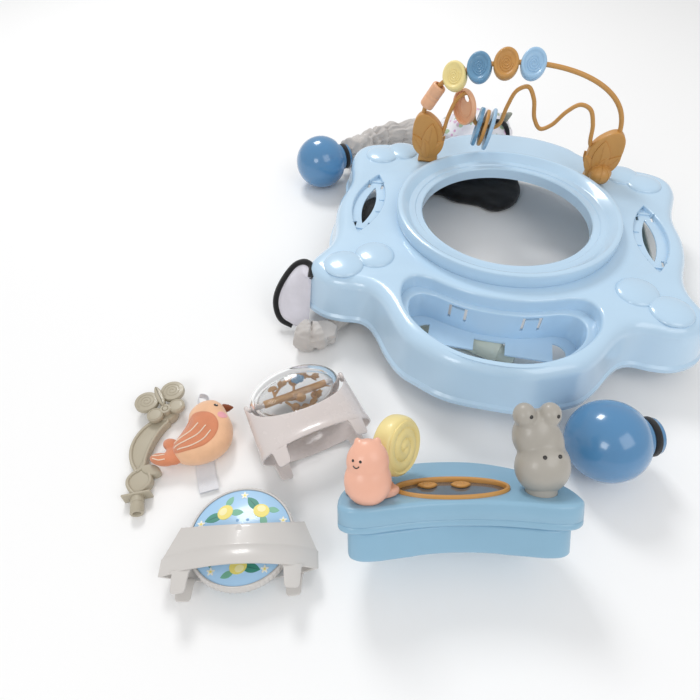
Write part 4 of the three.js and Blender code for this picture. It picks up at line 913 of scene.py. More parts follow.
# %% [markdown]
# ## Beads
# Each flat bead is a rounded oval with a raised rim, a dished face and a fine moulded spiral. The
# section through the bead is one list of shares, from the middle of the back face out round the
# rim to the middle of the front, so back and front match. It hangs on the rod, so the top of its
# hole rests there, and the middle of its CAD box is where the middle of the bead belongs.

# %% Flat beads and the barrel
bead_size = mm(44, 54, 18)
bead_hole = mm(10.4, 13.8, 0)
bead_lean = 42
bead_section_shares = [
    (0.02, 0.64), (0.62, 0.66), (0.7, 0.74), (0.75, 0.94), (0.8, 1), (0.87, 0.99), (0.94, 0.86),
    (0.985, 0.6), (1, 0.25)]


def bead_form():
    section = [(reach, -up) for reach, up in bead_section_shares]
    section += [(reach, up) for reach, up in reversed(bead_section_shares)]
    bead = stacked("bead", [
        at_height(oval(bead_size.x * reach, bead_size.y * reach, 72), up * bead_size.z / 2)
        for reach, up in section])
    bore = plain_block("bead_bore", oval(bead_hole.x, bead_hole.y, 40), -bead_size.x, bead_size.x)
    placed(bore, turn_about("Y", 90))
    cut(bead, bore)
    spiral_parts = [bead]
    for face in (-1, 1):
        spiral = []
        for step in range(90):
            reach = bead_size.x / 2 * (0.06 + 0.5 * step / 90)
            spiral.append(Vector(polar(reach, face * 0.21 * step, face * bead_size.z * 0.335,
                                       bead_size.y / bead_size.x)))
        spiral_parts.append(rod_along("bead_spiral", spiral, 0.85 * MM, 2))
    bead = merged("bead", spiral_parts)
    return smooth(bead, 45)


def middle_of(node):
    low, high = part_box(node)
    return (low + high) / 2


flat_bead = bead_form()
high_beads = [
    ("bead_yellow", "yellow_bead", "butter", butter_plastic, 0.241),
    ("bead_blue", "blue_bead", "slate_blue", slate_plastic, 0.334),
    ("bead_ochre", "ochre_bead", "ochre", ochre_plastic, 0.42),
    ("bead_sky", "sky_bead", "tray_blue", bead_sky_plastic, 0.502)]
for node, body, slot, material, share in high_beads:
    bead = copied(flat_bead, node + "_dressed")
    placed(bead, shift(middle_of(node)) @ turn_about("Y", -arch_slope(share))
           @ turn_about("X", 90 - bead_lean))
    dress(bead, body, slot, material, [node])
bpy.data.objects.remove(flat_bead)

barrel_share = 0.112
barrel_radius = 13.5 * MM
barrel_half = 23 * MM
barrel_profile_shares = [
    (0.66, -1), (0.8, -1), (0.93, -0.96), (0.99, -0.88), (1, -0.8), (1, -0.2), (0.965, -0.17),
    (0.965, -0.13), (1, -0.1), (1, 0.1), (0.965, 0.13), (0.965, 0.17), (1, 0.2), (1, 0.8),
    (0.99, 0.88), (0.93, 0.96), (0.8, 1), (0.66, 1)]
barrel = hoop_of("barrel", [
    (reach * barrel_radius, up * barrel_half) for reach, up in barrel_profile_shares], 64)
placed(barrel, shift(middle_of("bead_barrel")) @ turn_about("Y", 90 - arch_slope(barrel_share)))
dress(smooth(barrel, 45), "barrel_bead", "peach", peach_plastic, ["bead_barrel"])
print("beads on the rod:", len(high_beads) + 1)

# %% [markdown]
# Three discs and a shallow cup hang on the wire. A disc is turned, with a raised border and a
# dished middle; the flower's outline waves in and out to make its petals.

# %% Cup and discs on the wire
disc_thickness = 7.5 * MM
disc_bore = 9.6 * MM
disc_section_shares = [
    (0.28, 1), (0.36, 1), (0.4, 0.7), (0.76, 0.66), (0.82, 0.96), (0.9, 1), (0.97, 0.82), (1, 0.4)]


def wire_disc(name, radius, petals=0):
    def ring_at(reach, height):
        depth = 0.08 * max(reach - 0.4, 0) / 0.6 if petals else 0
        return [polar(radius * reach * (1 - depth + depth * math.cos(petals * turn)), turn, height)
                for turn in turns_of(96)]
    section = [(reach, up) for reach, up in disc_section_shares]
    section += [(reach, -up) for reach, up in reversed(disc_section_shares)]
    section[0] = (disc_bore / radius, 1)
    section[-1] = (disc_bore / radius, -1)
    loops = [ring_at(reach, up * disc_thickness / 2) for reach, up in section]
    return smooth(stacked(name, loops + loops[:1], close_ends=False), 40)


stack_slope = -9
wire_discs = [
    ("disc_flower", "flower_disc", "slate_blue", slate_plastic, 37 * MM, 8),
    ("disc_ochre", "ochre_disc", "ochre", ochre_plastic, 33 * MM, 0),
    ("disc_sky", "sky_disc", "tray_blue", bead_sky_plastic, 38 * MM, 0)]
for node, body, slot, material, radius, petals in wire_discs:
    disc = wire_disc(node + "_dressed", radius, petals)
    placed(disc, shift(middle_of(node)) @ turn_about("Y", 90 - stack_slope))
    dress(disc, body, slot, material, [node])

cup_radius = 32 * MM
cup_height = 9 * MM
cup_base = 3 * MM
cup_hang = 19 * MM
cup_bore = 10 * MM
cup_turn = 40
cup_share = -0.63
cup_rise = 0.795
cup_sag = 5 * MM
cup_profile = [
    (0.4 * MM, 0), (cup_radius - 2 * MM, 0), (cup_radius - 0.6 * MM, 0.6 * MM),
    (cup_radius, 2 * MM), (cup_radius, cup_height - 1.4 * MM), (cup_radius - 0.8 * MM, cup_height),
    (cup_radius - 3.4 * MM, cup_height), (cup_radius - 4 * MM, cup_height - 0.8 * MM),
    (cup_radius - 4 * MM, cup_base + 1.5 * MM), (cup_radius - 5.5 * MM, cup_base),
    (cup_radius * 0.62, cup_base), (cup_radius * 0.6, cup_base + 1.2 * MM),
    (cup_radius * 0.52, cup_base + 1.2 * MM), (cup_radius * 0.5, cup_base), (0.4 * MM, cup_base)]
cup = turned("cup", cup_profile, 80)
cup_hole = drum("cup_hole", cup_bore, -cup_height, 2 * cup_height, 40)
placed(cup_hole, shift((cup_hang, 0, 0)))
cut(cup, cup_hole)
placed(cup, shift((-cup_hang, 0, -cup_base / 2)))
placed(cup, opening @ shift((
    cup_share * foot_x, arch_y, deck_height + cup_rise * wire_rise - cup_sag))
    @ turn_about("Z", cup_turn) @ turn_about("Y", -90))
cup.name = "hanging_cup"
dress(smooth(cup, 35), "hanging_hoop", "peach", peach_plastic, ["hoop_peach"])
print("discs on the wire:", len(wire_discs) + 1)

# %% [markdown]
# ## Leg tops and leg tubes
# The three bulb-shaped leg tops are turned like a lamp base: a round swell that narrows to a neck,
# with a black webbing band. The tubes are plain pipes with a narrower plug end, a snap button and a
# moulded collar. Both lie on the floor just as they were packed.

# %% Leg tops with their bands
bulb_radius = 56 * MM
bulb_length = 124 * MM
neck_radius = 25 * MM
neck_length = 16 * MM
collar_wall = 4 * MM
leg_top_places = [
    (-1.217 * tray_half_width, 0.63 * tray_back, 40),
    (163 * MM, -tray_front - 29 * MM, 20),
    (-0.47 * tray_half_width, -0.235 * tray_front, 216)]
bulb_profile = [(core, 0)]
for step in range(1, 25):
    angle = 1.45 * math.pi / 2 * step / 24
    bulb_profile.append((bulb_radius * math.sin(angle), bulb_radius * (1 - math.cos(angle))))
shoulder_z = bulb_length - 1.6 * neck_length
bulb_profile += [
    (neck_radius + 2.4 * collar_wall, shoulder_z - 6 * MM),
    (neck_radius + 1.3 * collar_wall, shoulder_z - 1.5 * MM),
    (neck_radius + collar_wall, shoulder_z), (neck_radius + collar_wall, shoulder_z + 6 * MM),
    (neck_radius + collar_wall - 1 * MM, shoulder_z + 7.5 * MM),
    (neck_radius, bulb_length - neck_length), (neck_radius, bulb_length - 1.5 * MM),
    (neck_radius - 1.5 * MM, bulb_length), (neck_radius - 5 * MM, bulb_length),
    (neck_radius - 5 * MM, bulb_length - 5 * MM), (core, bulb_length - 5 * MM)]
band_inner = neck_radius + gap
band_outer = band_inner + 2 * MM
band_start = bulb_length - neck_length + gap
band_end = band_start + 9 * MM


def lying(x, y, radius, turn, before=0):
    return (opening @ shift((x, y, radius)) @ turn_about("Z", turn)
            @ turn_about("Y", 90) @ shift((0, 0, -before)))


def cloth(name, code, weave, roughness=0.9, depth=0.35, mottle=0.08, sheen=0.3):
    """A woven cloth: two sets of threads cross, with a soft variation of tone."""
    material, tree, shader = node_tree(name)
    place = place_on(tree)
    heights = []
    for direction in ("X", "Y", "Z"):
        wave = added(tree, "TexWave", {
            "Vector": place, "Scale": weave, "Distortion": 1.2, "Detail": 1})
        wave.bands_direction = direction
        heights.append(wave.outputs["Fac"])
    height = heights[0]
    for other in heights[1:]:
        mixer = tree.nodes.new("ShaderNodeMath")
        mixer.operation = "MULTIPLY_ADD"
        height = filled(mixer, {0: other, 1: 0.5, 2: height}).outputs["Value"]
    colour = linear(code)
    paler = tuple(min(1, channel * (1 + mottle) + 0.01 * mottle) for channel in colour)
    deeper = tuple(channel * (1 - 1.6 * mottle) for channel in colour)
    filled(shader, {
        "Base Color": ramp(tree, noise_at(tree, 45.0, 6.0), deeper, paler, 0.3, 0.7),
        "Normal": bump_of(tree, height, depth, 0.3 * MM),
        "Roughness": roughness, "Sheen Weight": sheen, "Sheen Roughness": 0.5,
        "Specular IOR Level": 0.25})
    return material


webbing = cloth("black_webbing", "232325", 420.0, 0.8, 0.5, 0.1, 0.25)
for index, (x, y, turn) in enumerate(leg_top_places, start=1):
    spot = lying(x, y, bulb_radius, turn, bulb_radius)
    bulb = turned(f"leg_top_{index}_dressed", bulb_profile, 96)
    finished(bulb, spot, 50, "base", "leg_blue", denim_plastic, [f"leg_top_{index}"])
    band = hoop_of(f"leg_band_{index}_dressed", [
        (band_inner, band_start), (band_outer - 0.5 * MM, band_start),
        (band_outer, band_start + 0.7 * MM), (band_outer, band_end - 0.7 * MM),
        (band_outer - 0.5 * MM, band_end), (band_inner, band_end)], 64)
    finished(band, spot, 50, "base", "black_cloth", webbing, [f"leg_band_{index}"])
print("leg tops:", len(leg_top_places))

# %% Leg tubes
tube_radius = 18 * MM
tube_length = 356 * MM
plug_radius = 13.5 * MM
plug_length = 26 * MM
tube_x = 0.84 * tray_half_width
tube_y = 0.725 * tray_back - tube_length
tube_places = [
    (0.135 * tray_half_width, -0.665 * tray_front, 161.4), (tube_x, tube_y, 90),
    (tube_x - 2 * tube_radius - gap, tube_y, 90)]
body_end = tube_length - plug_length
tube_profile = [
    (core, 6 * MM), (tube_radius - 4 * MM, 6 * MM), (tube_radius - 4 * MM, 0.6 * MM),
    (tube_radius - 3.4 * MM, 0), (tube_radius - 0.8 * MM, 0), (tube_radius, 0.8 * MM),
    (tube_radius, 22 * MM), (tube_radius - 0.7 * MM, 22.6 * MM), (tube_radius - 0.7 * MM, 25 * MM),
    (tube_radius, 25.6 * MM), (tube_radius, body_end - 9 * MM),
    (tube_radius - 0.4 * MM, body_end - 3 * MM), (tube_radius - 1.6 * MM, body_end - 0.6 * MM),
    (plug_radius + 0.5 * MM, body_end),
    (plug_radius, body_end + 0.6 * MM), (plug_radius, tube_length - 2 * MM),
    (plug_radius - 1.6 * MM, tube_length - 0.3 * MM), (plug_radius - 3 * MM, tube_length),
    (core, tube_length)]
button_radius = 4 * MM
for index, (x, y, turn) in enumerate(tube_places, start=1):
    tube = turned("tube", tube_profile, 72)
    button = ball("snap_button", (button_radius, button_radius, 2 * MM), (0, 0, 0), 24, 12)
    placed(button, shift((plug_radius - 0.6 * MM, 0, tube_length - plug_length / 2))
           @ turn_about("Y", 90))
    tube = merged(f"leg_tube_{index}_dressed", [tube, button])
    placed(tube, shift((0, 0, tube_length)) @ turn_about("X", 180))
    placed(tube, lying(x, y, tube_radius, turn))
    dress(smooth(tube, 45), "base", "tube_sage", sage_plastic, [f"leg_tube_{index}"])
print("leg tubes:", len(tube_places))

# %% [markdown]
# ## Console toy
# The console is two kidney-shaped tiers, the same outline as the pocket that holds it. It lies
# tilted on its lower back edge, so it is built level, in its own frame, and then turned as a whole.
# That frame's origin comes from the place of the shell's hinge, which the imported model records.

# %% Two kidney tiers
console_turn = 14
console_tilt = -38
console_length = 276 * MM
console_inset = 11 * MM
lower_height = 37 * MM
console_top = 69 * MM
console_edge = 5 * MM
line_share = 0.3
dent = 0.6
shell_local = mm(-68, -8, 117.3)


def toy_frame(joint, pivot, turn, tilt):
    """The toy's own frame, from one of its hinges and the way that the toy lies."""
    way = turn_about("Z", turn) @ turn_about("X", tilt)
    origin = Vector(joints[joint]["pos_m"]) - way @ Vector(pivot)
    return shift(origin) @ way


def kidney(length, inset=0.0):
    scale = length / (2 * pocket_half_width)
    outline = shrunk(pocket_outline, inset / scale) if inset else pocket_outline
    middle = -pocket_rear - pocket_depth / 2
    hollow = -pocket_depth / 2
    places = []
    for point in outline:
        along = middle - point[1]
        if along < hollow:
            along = hollow + (along - hollow) * dent
        places.append(Vector((-point[0] * scale, along * scale, 0)))
    return places


console = toy_frame("shell_spin", shell_local, console_turn, console_tilt)
lower_tier = rounded_slab("console_lower", kidney(console_length, console_inset), 0, lower_height,
                          console_edge, 6)
finished(lower_tier, console, 50, "console", "console_blue", pool_plastic, ["console_base"])
print("console stands", round(console.translation.z / MM, 1), "mm above the floor at its origin")


upper_low = lower_height + gap
upper_tier = rounded_slab("console_upper", kidney(console_length), upper_low, console_top,
                          console_edge, 6, upper_low + line_share * (console_top - upper_low))
dial_length = 138 * MM
dial_width = 56 * MM
dial_x = -4 * MM
dial_y = -26 * MM
dial_depth = 6 * MM
rim_height = 4 * MM
rim_width = 5 * MM
glass_height = 4 * MM
hippo_x = 98 * MM
hippo_y = -36 * MM
post_radius = 18 * MM
dial_spot = shift((dial_x, dial_y, 0))
cut_low = console_top - dial_depth
cut_high = console_top + dial_depth
dial_cutter = plain_block("dial_cutter", oval(dial_length, dial_width, 96), cut_low, cut_high)
cut(upper_tier, placed(dial_cutter, dial_spot))
post_cutter = drum("post_cutter", post_radius + gap, cut_low, cut_high)
cut(upper_tier, placed(post_cutter, shift((hippo_x, hippo_y, 0))))
finished(upper_tier, console, 50, "console", "console_blue", pool_plastic, ["console_top"])

# %% [markdown]
# In the top is an oval dial: an ochre rim, a dark window sunk inside it and two leaf keys. The rim
# is a closed ring whose section is a small rounded bar.

# %% Dial rim, window and leaf keys
dial_floor = cut_low + gap
rim_top = console_top + rim_height


def oval_loops(length, width, section):
    return [at_height(oval(length - 2 * inset, width - 2 * inset, 96), height)
            for inset, height in section]


def oval_ring(name, length, width, section):
    loops = oval_loops(length, width, section)
    return stacked(name, loops + loops[:1], close_ends=False)


dial_rim = oval_ring("dial_rim_dressed", dial_length, dial_width, [
    (gap, dial_floor), (gap, rim_top - 1.6 * MM), (0.9 * MM, rim_top - 0.5 * MM),
    (2 * MM, rim_top), (3.4 * MM, rim_top), (4.4 * MM, rim_top - 0.6 * MM),
    (rim_width, rim_top - 1.8 * MM), (rim_width, dial_floor)])
finished(dial_rim, console @ dial_spot, 50, "console", "ochre", ochre_plastic, ["dial_rim"])
glass_top = dial_floor + glass_height
window_inset = rim_width + gap
dial_window = stacked("dial_window", oval_loops(
    dial_length - 2 * window_inset, dial_width - 2 * window_inset, [
        (0, dial_floor), (0, glass_top - 0.6 * MM), (0.6 * MM, glass_top), (12 * MM, glass_top),
        (22 * MM, glass_top - 0.4 * MM)]))
finished(dial_window, console @ dial_spot, 50, "console", "dark_window", window_plastic,
         ["dial_glass"])
key_length = 24 * MM
key_width = 15 * MM
key_height = 3.5 * MM
key_spread = 40 * MM
key_shift = -7 * MM
key_base = glass_top + gap
for side, label in ((-1, "left"), (1, "right")):
    outline = pointed_oval(key_length, key_width, 48)
    loops = [(0.5 * MM, 0), (0, 0.6 * MM), (0, key_height * 0.6), (0.8 * MM, key_height * 0.85),
             (2.4 * MM, key_height)]
    key = stacked("leaf_key", [
        at_height(shrunk(outline, inset), height) for inset, height in loops])
    parts = [key]
    rib = 0.55 * MM
    parts.append(rod_along("key_rib", [
        Vector((0, key_length * share, key_height)) for share in (-0.38, 0, 0.38)], rib))
    for share in (-0.22, -0.04, 0.14):
        for across in (-1, 1):
            root = Vector((0, key_length * share, key_height))
            tip = root + Vector((across * key_width * 0.28, key_length * 0.1, -0.2 * MM))
            parts.append(rod_along("key_vein", [root, tip], rib))
    key = merged(f"leaf_key_{label}_dressed", parts)
    placed(key, turn_about("Z", 90))
    placed(key, console @ shift((
        dial_x + key_shift + side * key_spread / 2, dial_y + dial_width * 0.2, key_base)))
    dress(smooth(key, 40), "console", "ochre", ochre_plastic, [f"leaf_key_{label}"])
print("dial ready")

# %% [markdown]
# ## Snail and hippo
# Both animals are soft, blown-up forms with no hard edges between head, body and foot. A few balls
# are overlapped, turned into one skin by a voxel remesh, and then smoothed, which melts the seams
# between them as a sculptor's thumb would.

# %% Melt balls into one form


def melted(name, parts, voxel, rounds, factor=0.5):
    form = merged(name, parts)
    finish_with(form, "REMESH", mode="VOXEL", voxel_size=voxel, adaptivity=0)
    finish_with(form, "SMOOTH", factor=factor, iterations=rounds)
    return form


def all_below(level):
    """A big block that reaches down from a level, to cut a flat underside."""
    return block("all_below", below_size, (0, 0, level - below_size.z / 2))


def way_at(azimuth, elevation):
    """The way out of a ball that two angles give, from its front."""
    turn = math.radians(azimuth)
    rise = math.radians(elevation)
    return Vector((math.sin(turn) * math.cos(rise), -math.cos(turn) * math.cos(rise),
                   math.sin(rise)))


def dot_on(middle, radii, azimuth, elevation, size):
    """A small bead set into a ball."""
    way = way_at(azimuth, elevation)
    dot = ball("dot", (size, size, size * 0.45), (0, 0, 0), 24, 12)
    return placed(dot, shift(middle + radii * way * 0.985) @ facing(way))


below_size = mm(300, 300, 60)
snail_spot = shift(mm(-104, -40, 69.3))
head_radii = mm(24, 18, 26.6)
head_place = mm(0, -16, 47.4)
chest_radii = mm(26.9, 19.4, 29.6)
chest_place = mm(0, -16, 25.2)
foot_length = 64 * MM
foot_width = 42 * MM
foot_height = 9.5 * MM
foot_place = mm(6, 6, 0)
shell_centre = mm(36, 32, 48)
shell_radius = 37 * MM
shell_half = 15 * MM
shell_turn = 50
arm_half = 5 * MM
arm_behind = shell_half + 0.6 * MM + arm_half
pin_radius = 5 * MM
foot = rounded_slab("snail_foot", oval(foot_length, foot_width, 72), 0, foot_height,
                    foot_height * 0.3)
placed(foot, shift(foot_place))
ear_radius = 4.4 * MM
snail_parts = [ball("head", head_radii, head_place), ball("chest", chest_radii, chest_place), foot]
for side in (-1, 1):
    snail_parts.append(ball("horn", (ear_radius, ear_radius, ear_radius * 1.1),
                            head_place + Vector((side * 11 * MM, 2 * MM, 23 * MM)), 24, 16))
snail = melted("snail", snail_parts, 1.7 * MM, 9)
cut(snail, all_below(0))
dial_clear = plain_block("dial_clear", oval(dial_length + 1.2 * MM, dial_width + 1.2 * MM, 96),
                         -1 * MM, foot_height + 1 * MM)
placed(dial_clear, snail_spot.inverted() @ dial_spot @ shift((0, 0, console_top)))
cut(snail, dial_clear)
behind_turn = turn_about("Z", shell_turn)
shell_frame = shift((shell_centre.x, shell_centre.y, 0)) @ behind_turn
arm = ball("arm", (arm_half * 2.8, arm_half, 31 * MM),
           (0, arm_behind, shell_centre.z * 0.8), 32, 20)
cut(arm, all_below(0))
pin = peg_form("pin", pin_radius, 0, shell_half * 1.6 + arm_half)
placed(pin, shift((0, arm_behind, shell_centre.z)) @ turn_about("X", 90))
snail = merged("snail", [snail, placed(arm, shell_frame), placed(pin, shell_frame)])
finished(snail, console @ snail_spot, 50, "console", "coral_plastic", coral_plastic, ["snail_body"])

face_dots = [dot_on(head_place, head_radii, -46, 14, 1.7 * MM),
             dot_on(head_place, head_radii, -22, 14, 1.7 * MM)]
smile = []
for step in range(9):
    share = step / 4 - 1
    smile.append(head_place + head_radii * way_at(-34 + 9 * share, -3 + 5 * share * share))
face_dots.append(rod_along("smile", smile, 0.7 * MM, 2))
snail_face = merged("snail_face", face_dots)
finished(snail_face, console @ snail_spot, 40, "console", "dark_window", ink_plastic)
print("snail:", len(snail.data.polygons), "faces")

# %% [markdown]
# The snail's shell turns on a pin. It is a thick wheel whose two faces carry one continuous spiral
# swell, so every ring of points on a face is lifted by how far it lies along the spiral.

# %% Snail shell
shell_rings = 34
shell_sides = 128
spiral_pitch = 13 * MM
spiral_swell = 3.4 * MM
shell_loops = []


def shell_lift(radius, turn):
    """How far a face swells at a place on it, from its share of one turn of the spiral."""
    share = (radius / spiral_pitch + turn / (2 * math.pi)) % 1.0
    return spiral_swell * math.sin(math.pi * share) ** 0.55


def shell_ring(radius, level, side):
    return [polar(radius, turn, level + (side * shell_lift(radius, side * turn) if side else 0))
            for turn in turns_of(shell_sides)]


face_level = shell_half - spiral_swell - 1.2 * MM
face_reach = shell_radius * 0.86
for step in range(shell_rings + 1):
    reach = core + (face_reach - core) * step / shell_rings
    shell_loops.append(shell_ring(reach, face_level + 1 * MM * (1 - reach / face_reach), 1))
for step in range(9):
    turn = math.pi * (0.5 - step / 8)
    shell_loops.append(shell_ring(
        face_reach + (shell_radius - face_reach) * math.cos(turn) ** 0.7,
        (face_level + 1.2 * MM) * math.sin(turn), 0))
for step in range(shell_rings, -1, -1):
    reach = core + (face_reach - core) * step / shell_rings
    shell_loops.append(shell_ring(reach, -face_level - 1 * MM * (1 - reach / face_reach), -1))
shell = stacked("shell_wheel_dressed", shell_loops)
pin_hole = drum("pin_hole", pin_radius + gap, -2 * shell_half, shell_half * 0.62, 32)
cut(shell, pin_hole)
placed(shell, turn_about("X", 90))
placed(shell, console @ snail_spot @ shift(shell_centre) @ behind_turn)
dress(smooth(shell, 60), "shell_wheel", "butter", butter_plastic, ["snail_shell"])
print("shell:", len(shell.data.polygons), "faces")

# %% Hippo button
hippo_spot = shift((hippo_x, hippo_y, console_top))
muzzle_place = mm(0, 0, 30.4)
muzzle_radii = mm(32, 25, 33)
crown_place = mm(-7, 7.5, 66.1)
crown_radii = mm(27, 21, 31)
eye_height = 92.2 * MM
eye_radius = 13 * MM
hippo_parts = [
    ball("muzzle", muzzle_radii, muzzle_place),
    ball("neck", mm(25.6, 19, 33), mm(0, 5, 52.8)),
    ball("crown", crown_radii, crown_place)]
eye_places = [Vector((side * 14.6 * MM - 9.1 * MM, 0, eye_height)) for side in (-1, 1)]
for place in eye_places:
    hippo_parts.append(ball("eye", (eye_radius, eye_radius, eye_radius * 1.1), place, 32, 20))
nostril_spots = [mm(3 + side * 9, -24, 51) for side in (-1, 1)]
for side in (-1, 1):
    hippo_parts.append(ball("nostril_swell", mm(9, 8, 8), mm(3 + side * 9, -12, 47), 24, 16))
hippo = melted("hippo_dressed", hippo_parts, 1.7 * MM, 8)
skirt_gap = 6 * MM
cut(hippo, all_below(skirt_gap))
post_low = -dial_depth + 5.3 * MM
post = peg_form("post", post_radius, post_low, skirt_gap + 2 * MM, 64)
hippo = merged("hippo_dressed", [hippo, post])
eye_radii = Vector((eye_radius, eye_radius, eye_radius * 1.1))
hippo_dots = [
    dot_on(eye_places[0], eye_radii, 18, 4, 2.3 * MM),
    dot_on(eye_places[1], eye_radii, 24, 4, 2.3 * MM)]
nostril_radii = mm(2.4, 2.4, 1.1)
for spot in nostril_spots:
    place, way = hippo.closest_point_on_mesh(spot)[1:3]
    hippo_dots.append(placed(ball("nostril", nostril_radii, (0, 0, 0), 24, 12),
                             shift(place) @ facing(way)))
finished(hippo, console @ hippo_spot, 50, "hippo_button", "hippo_grey", hide_plastic, ["hippo"])
hippo_face = merged("hippo_face", hippo_dots)
finished(hippo_face, console @ hippo_spot, 40, "hippo_button", "dark_window", ink_plastic)
print("hippo:", len(hippo.data.polygons), "faces")

# %% [markdown]
# ## Disc toy
# A bracket holds a turning picture disc. The bracket is a thin wall on a narrow plan with pointed
# ends: a wider foot band, a step, and a narrower body whose top edge dips in the middle. Each
# point of the plan is lifted through a list of levels, first outside and then back down inside.

# %% Bracket of the disc toy
disc_axis = mm(0, 0, 44)
disc_toy_turn = 16
disc_toy_lie = -92.77
disc_toy_frame = toy_frame("picture_spin", disc_axis, disc_toy_turn, disc_toy_lie)


def cradle(name, low_plan, top_plan, height, crest, shoulder, wall, step_at, step_in):
    """A wall on a plan. Its sides rise straight to the shoulder and lean in above it."""
    half_top = max(abs(point[0]) for point in top_plan)
    levels = [(0, 0), (step_at - 1.2 * MM, 0), (step_at + 0.8 * MM, step_in)]
    levels += [(height * share, step_in) for share in (0.42, 0.55, 0.68, 0.8, 0.9)]
    levels.append((height - 0.5 * MM, step_in))
    outside = []
    inside = []
    for level, inset in levels:
        for rows, skin in ((outside, 0), (inside, wall)):
            row = []
            low_ring = grown(low_plan, -inset - skin)
            top_ring = grown(top_plan, -inset - skin)
            share = max(level / height - shoulder, 0) / (1 - shoulder)
            for low_point, top_point in zip(low_ring, top_ring):
                edge = crest(min(abs(top_point[0]) / half_top, 1))
                z = level if level <= step_at + 1 * MM else (
                    step_at + (level - step_at) * (edge - step_at) / (height - step_at))
                point = low_point.lerp(top_point, share)
                row.append((point.x, point.y, z))
            rows.append(row)
    loops = outside + inside[::-1]
    body = stacked(name, loops + loops[:1], close_ends=False)
    return rounded(body, 0.6 * MM, 2, 55)


tab_half_width = 12 * MM
tab_foot = 9 * MM
tab_thickness = 3 * MM
tab_length = 26 * MM


def tab_form():
    """A flat tab that narrows towards its rounded foot."""
    outline = [
        (tab_half_width, 1 * MM), (tab_half_width, -2 * MM), (tab_half_width - 1.5 * MM, -4 * MM),
        (tab_foot, -tab_length + 3 * MM), (tab_foot - 2 * MM, -tab_length + 0.4 * MM),
        (tab_foot - 4 * MM, -tab_length)]
    outline += [(-x, z) for x, z in reversed(outline)]
    tab = plain_block("tab", outline, -tab_thickness / 2, tab_thickness / 2)
    placed(tab, turn_about("X", 90))
    return rounded(tab, 0.6 * MM, 2, 50)


def tabs_at(spread, seat, lean):
    """Four tabs, two on each long side of a cradle, each turned to follow its wall."""
    tabs = []
    for side in (-1, 1):
        for face in (-1, 1):
            spot = shift((side * spread / 2, face * (seat - 2.1 * MM), 1 * MM))
            tabs.append(placed(tab_form(), spot @ turn_about("Z", -face * side * lean)))
    return tabs


def along_x(outline):
    return [Vector((point.y, -point.x, 0)) for point in outline]


bracket_wall = 2.5 * MM
bracket_length = 190 * MM
bracket_depth = 56 * MM
low_plan = along_x(pointed_oval(bracket_length, bracket_depth, 96))
top_plan = along_x(pointed_oval(158 * MM, 52 * MM, 96))
bracket_height = 62 * MM
bracket = cradle("bracket", low_plan, top_plan, bracket_height,
                 lambda reach: bracket_height - 12 * MM * (1 - reach ** 2), 0.36, bracket_wall,
                 22 * MM, 1.6 * MM)
axle_radius = 4 * MM
tab_spread = 130 * MM
tab_share = tab_spread / bracket_length
tab_seat = bracket_depth / 2 * (1 - tab_share * tab_share)
bracket_parts = [bracket, *tabs_at(tab_spread, tab_seat, 12)]
axle = peg_form("axle", axle_radius, -25 * MM, 25 * MM)
placed(axle, shift(disc_axis) @ turn_about("X", 90))
bracket_parts.append(axle)
bracket = merged("disc_bracket", bracket_parts)
finished(bracket, disc_toy_frame, 45, "disc_toy", "stone", stone_plastic, ["disc_cradle"])
print("bracket:", len(bracket.data.polygons), "faces")

# %% [markdown]
# The disc has a ridged rim and a printed face. The print is this lesson's own: a wreath of yellow
# fruit and green leaves on sky blue, with white blossoms and blue dots. It is drawn once as a
# sprig and repeated round the middle. Each motif is a thin skin, a tenth of a millimetre proud of
# the one under it, because a flat print has crisp edges.

# %% Picture disc
disc_radius = 66 * MM
disc_half = 6 * MM
disc_rim_width = 4 * MM
face_radius = disc_radius - disc_rim_width
ridge_count = 72
ridge_height = 0.7 * MM


def ridged(radius, height, wave):
    return [polar(radius - wave * (0.5 + 0.5 * math.cos(ridge_count * turn)) ** 3, turn, height)
            for turn in turns_of(ridge_count * 6)]


rim_proud = disc_half + 1.5 * MM
rim_loops = [
    ridged(face_radius + gap, -rim_proud + 0.4 * MM, 0),
    ridged(face_radius + 0.8 * MM, -rim_proud, 0), ridged(face_radius + 2.2 * MM, -rim_proud, 0),
    ridged(disc_radius - 0.6 * MM, -disc_half, ridge_height * 0.4),
    ridged(disc_radius, -disc_half + 1 * MM, ridge_height),
    ridged(disc_radius, disc_half - 1 * MM, ridge_height),
    ridged(disc_radius - 0.6 * MM, disc_half, ridge_height * 0.4),
    ridged(face_radius + 2.2 * MM, rim_proud, 0), ridged(face_radius + 0.8 * MM, rim_proud, 0),
    ridged(face_radius + gap, rim_proud - 0.4 * MM, 0)]
disc_rim = stacked("disc_rim_dressed", rim_loops + rim_loops[:1], close_ends=False)
wheel_spot = disc_toy_frame @ shift(disc_axis) @ turn_about("X", 90)
finished(disc_rim, wheel_spot, 40, "picture_wheel", "stone", stone_plastic, ["disc_rim"])

axle_bore = 4.3 * MM
sky_disc_loops = [
    circle(axle_bore, -disc_half, 96), circle(face_radius - 1 * MM, -disc_half, 96),
    circle(face_radius, -disc_half + 0.6 * MM, 96), circle(face_radius, disc_half - 0.6 * MM, 96),
    circle(face_radius - 1 * MM, disc_half, 96), circle(axle_bore, disc_half, 96)]
picture = stacked("picture_face", sky_disc_loops + sky_disc_loops[:1], close_ends=False)
finished(picture, wheel_spot, 40, "picture_wheel", "picture",
         plastic("picture_sky", "a9d0f0", 0.3, 0.4, 0.04, 0.03), ["picture_disc"])

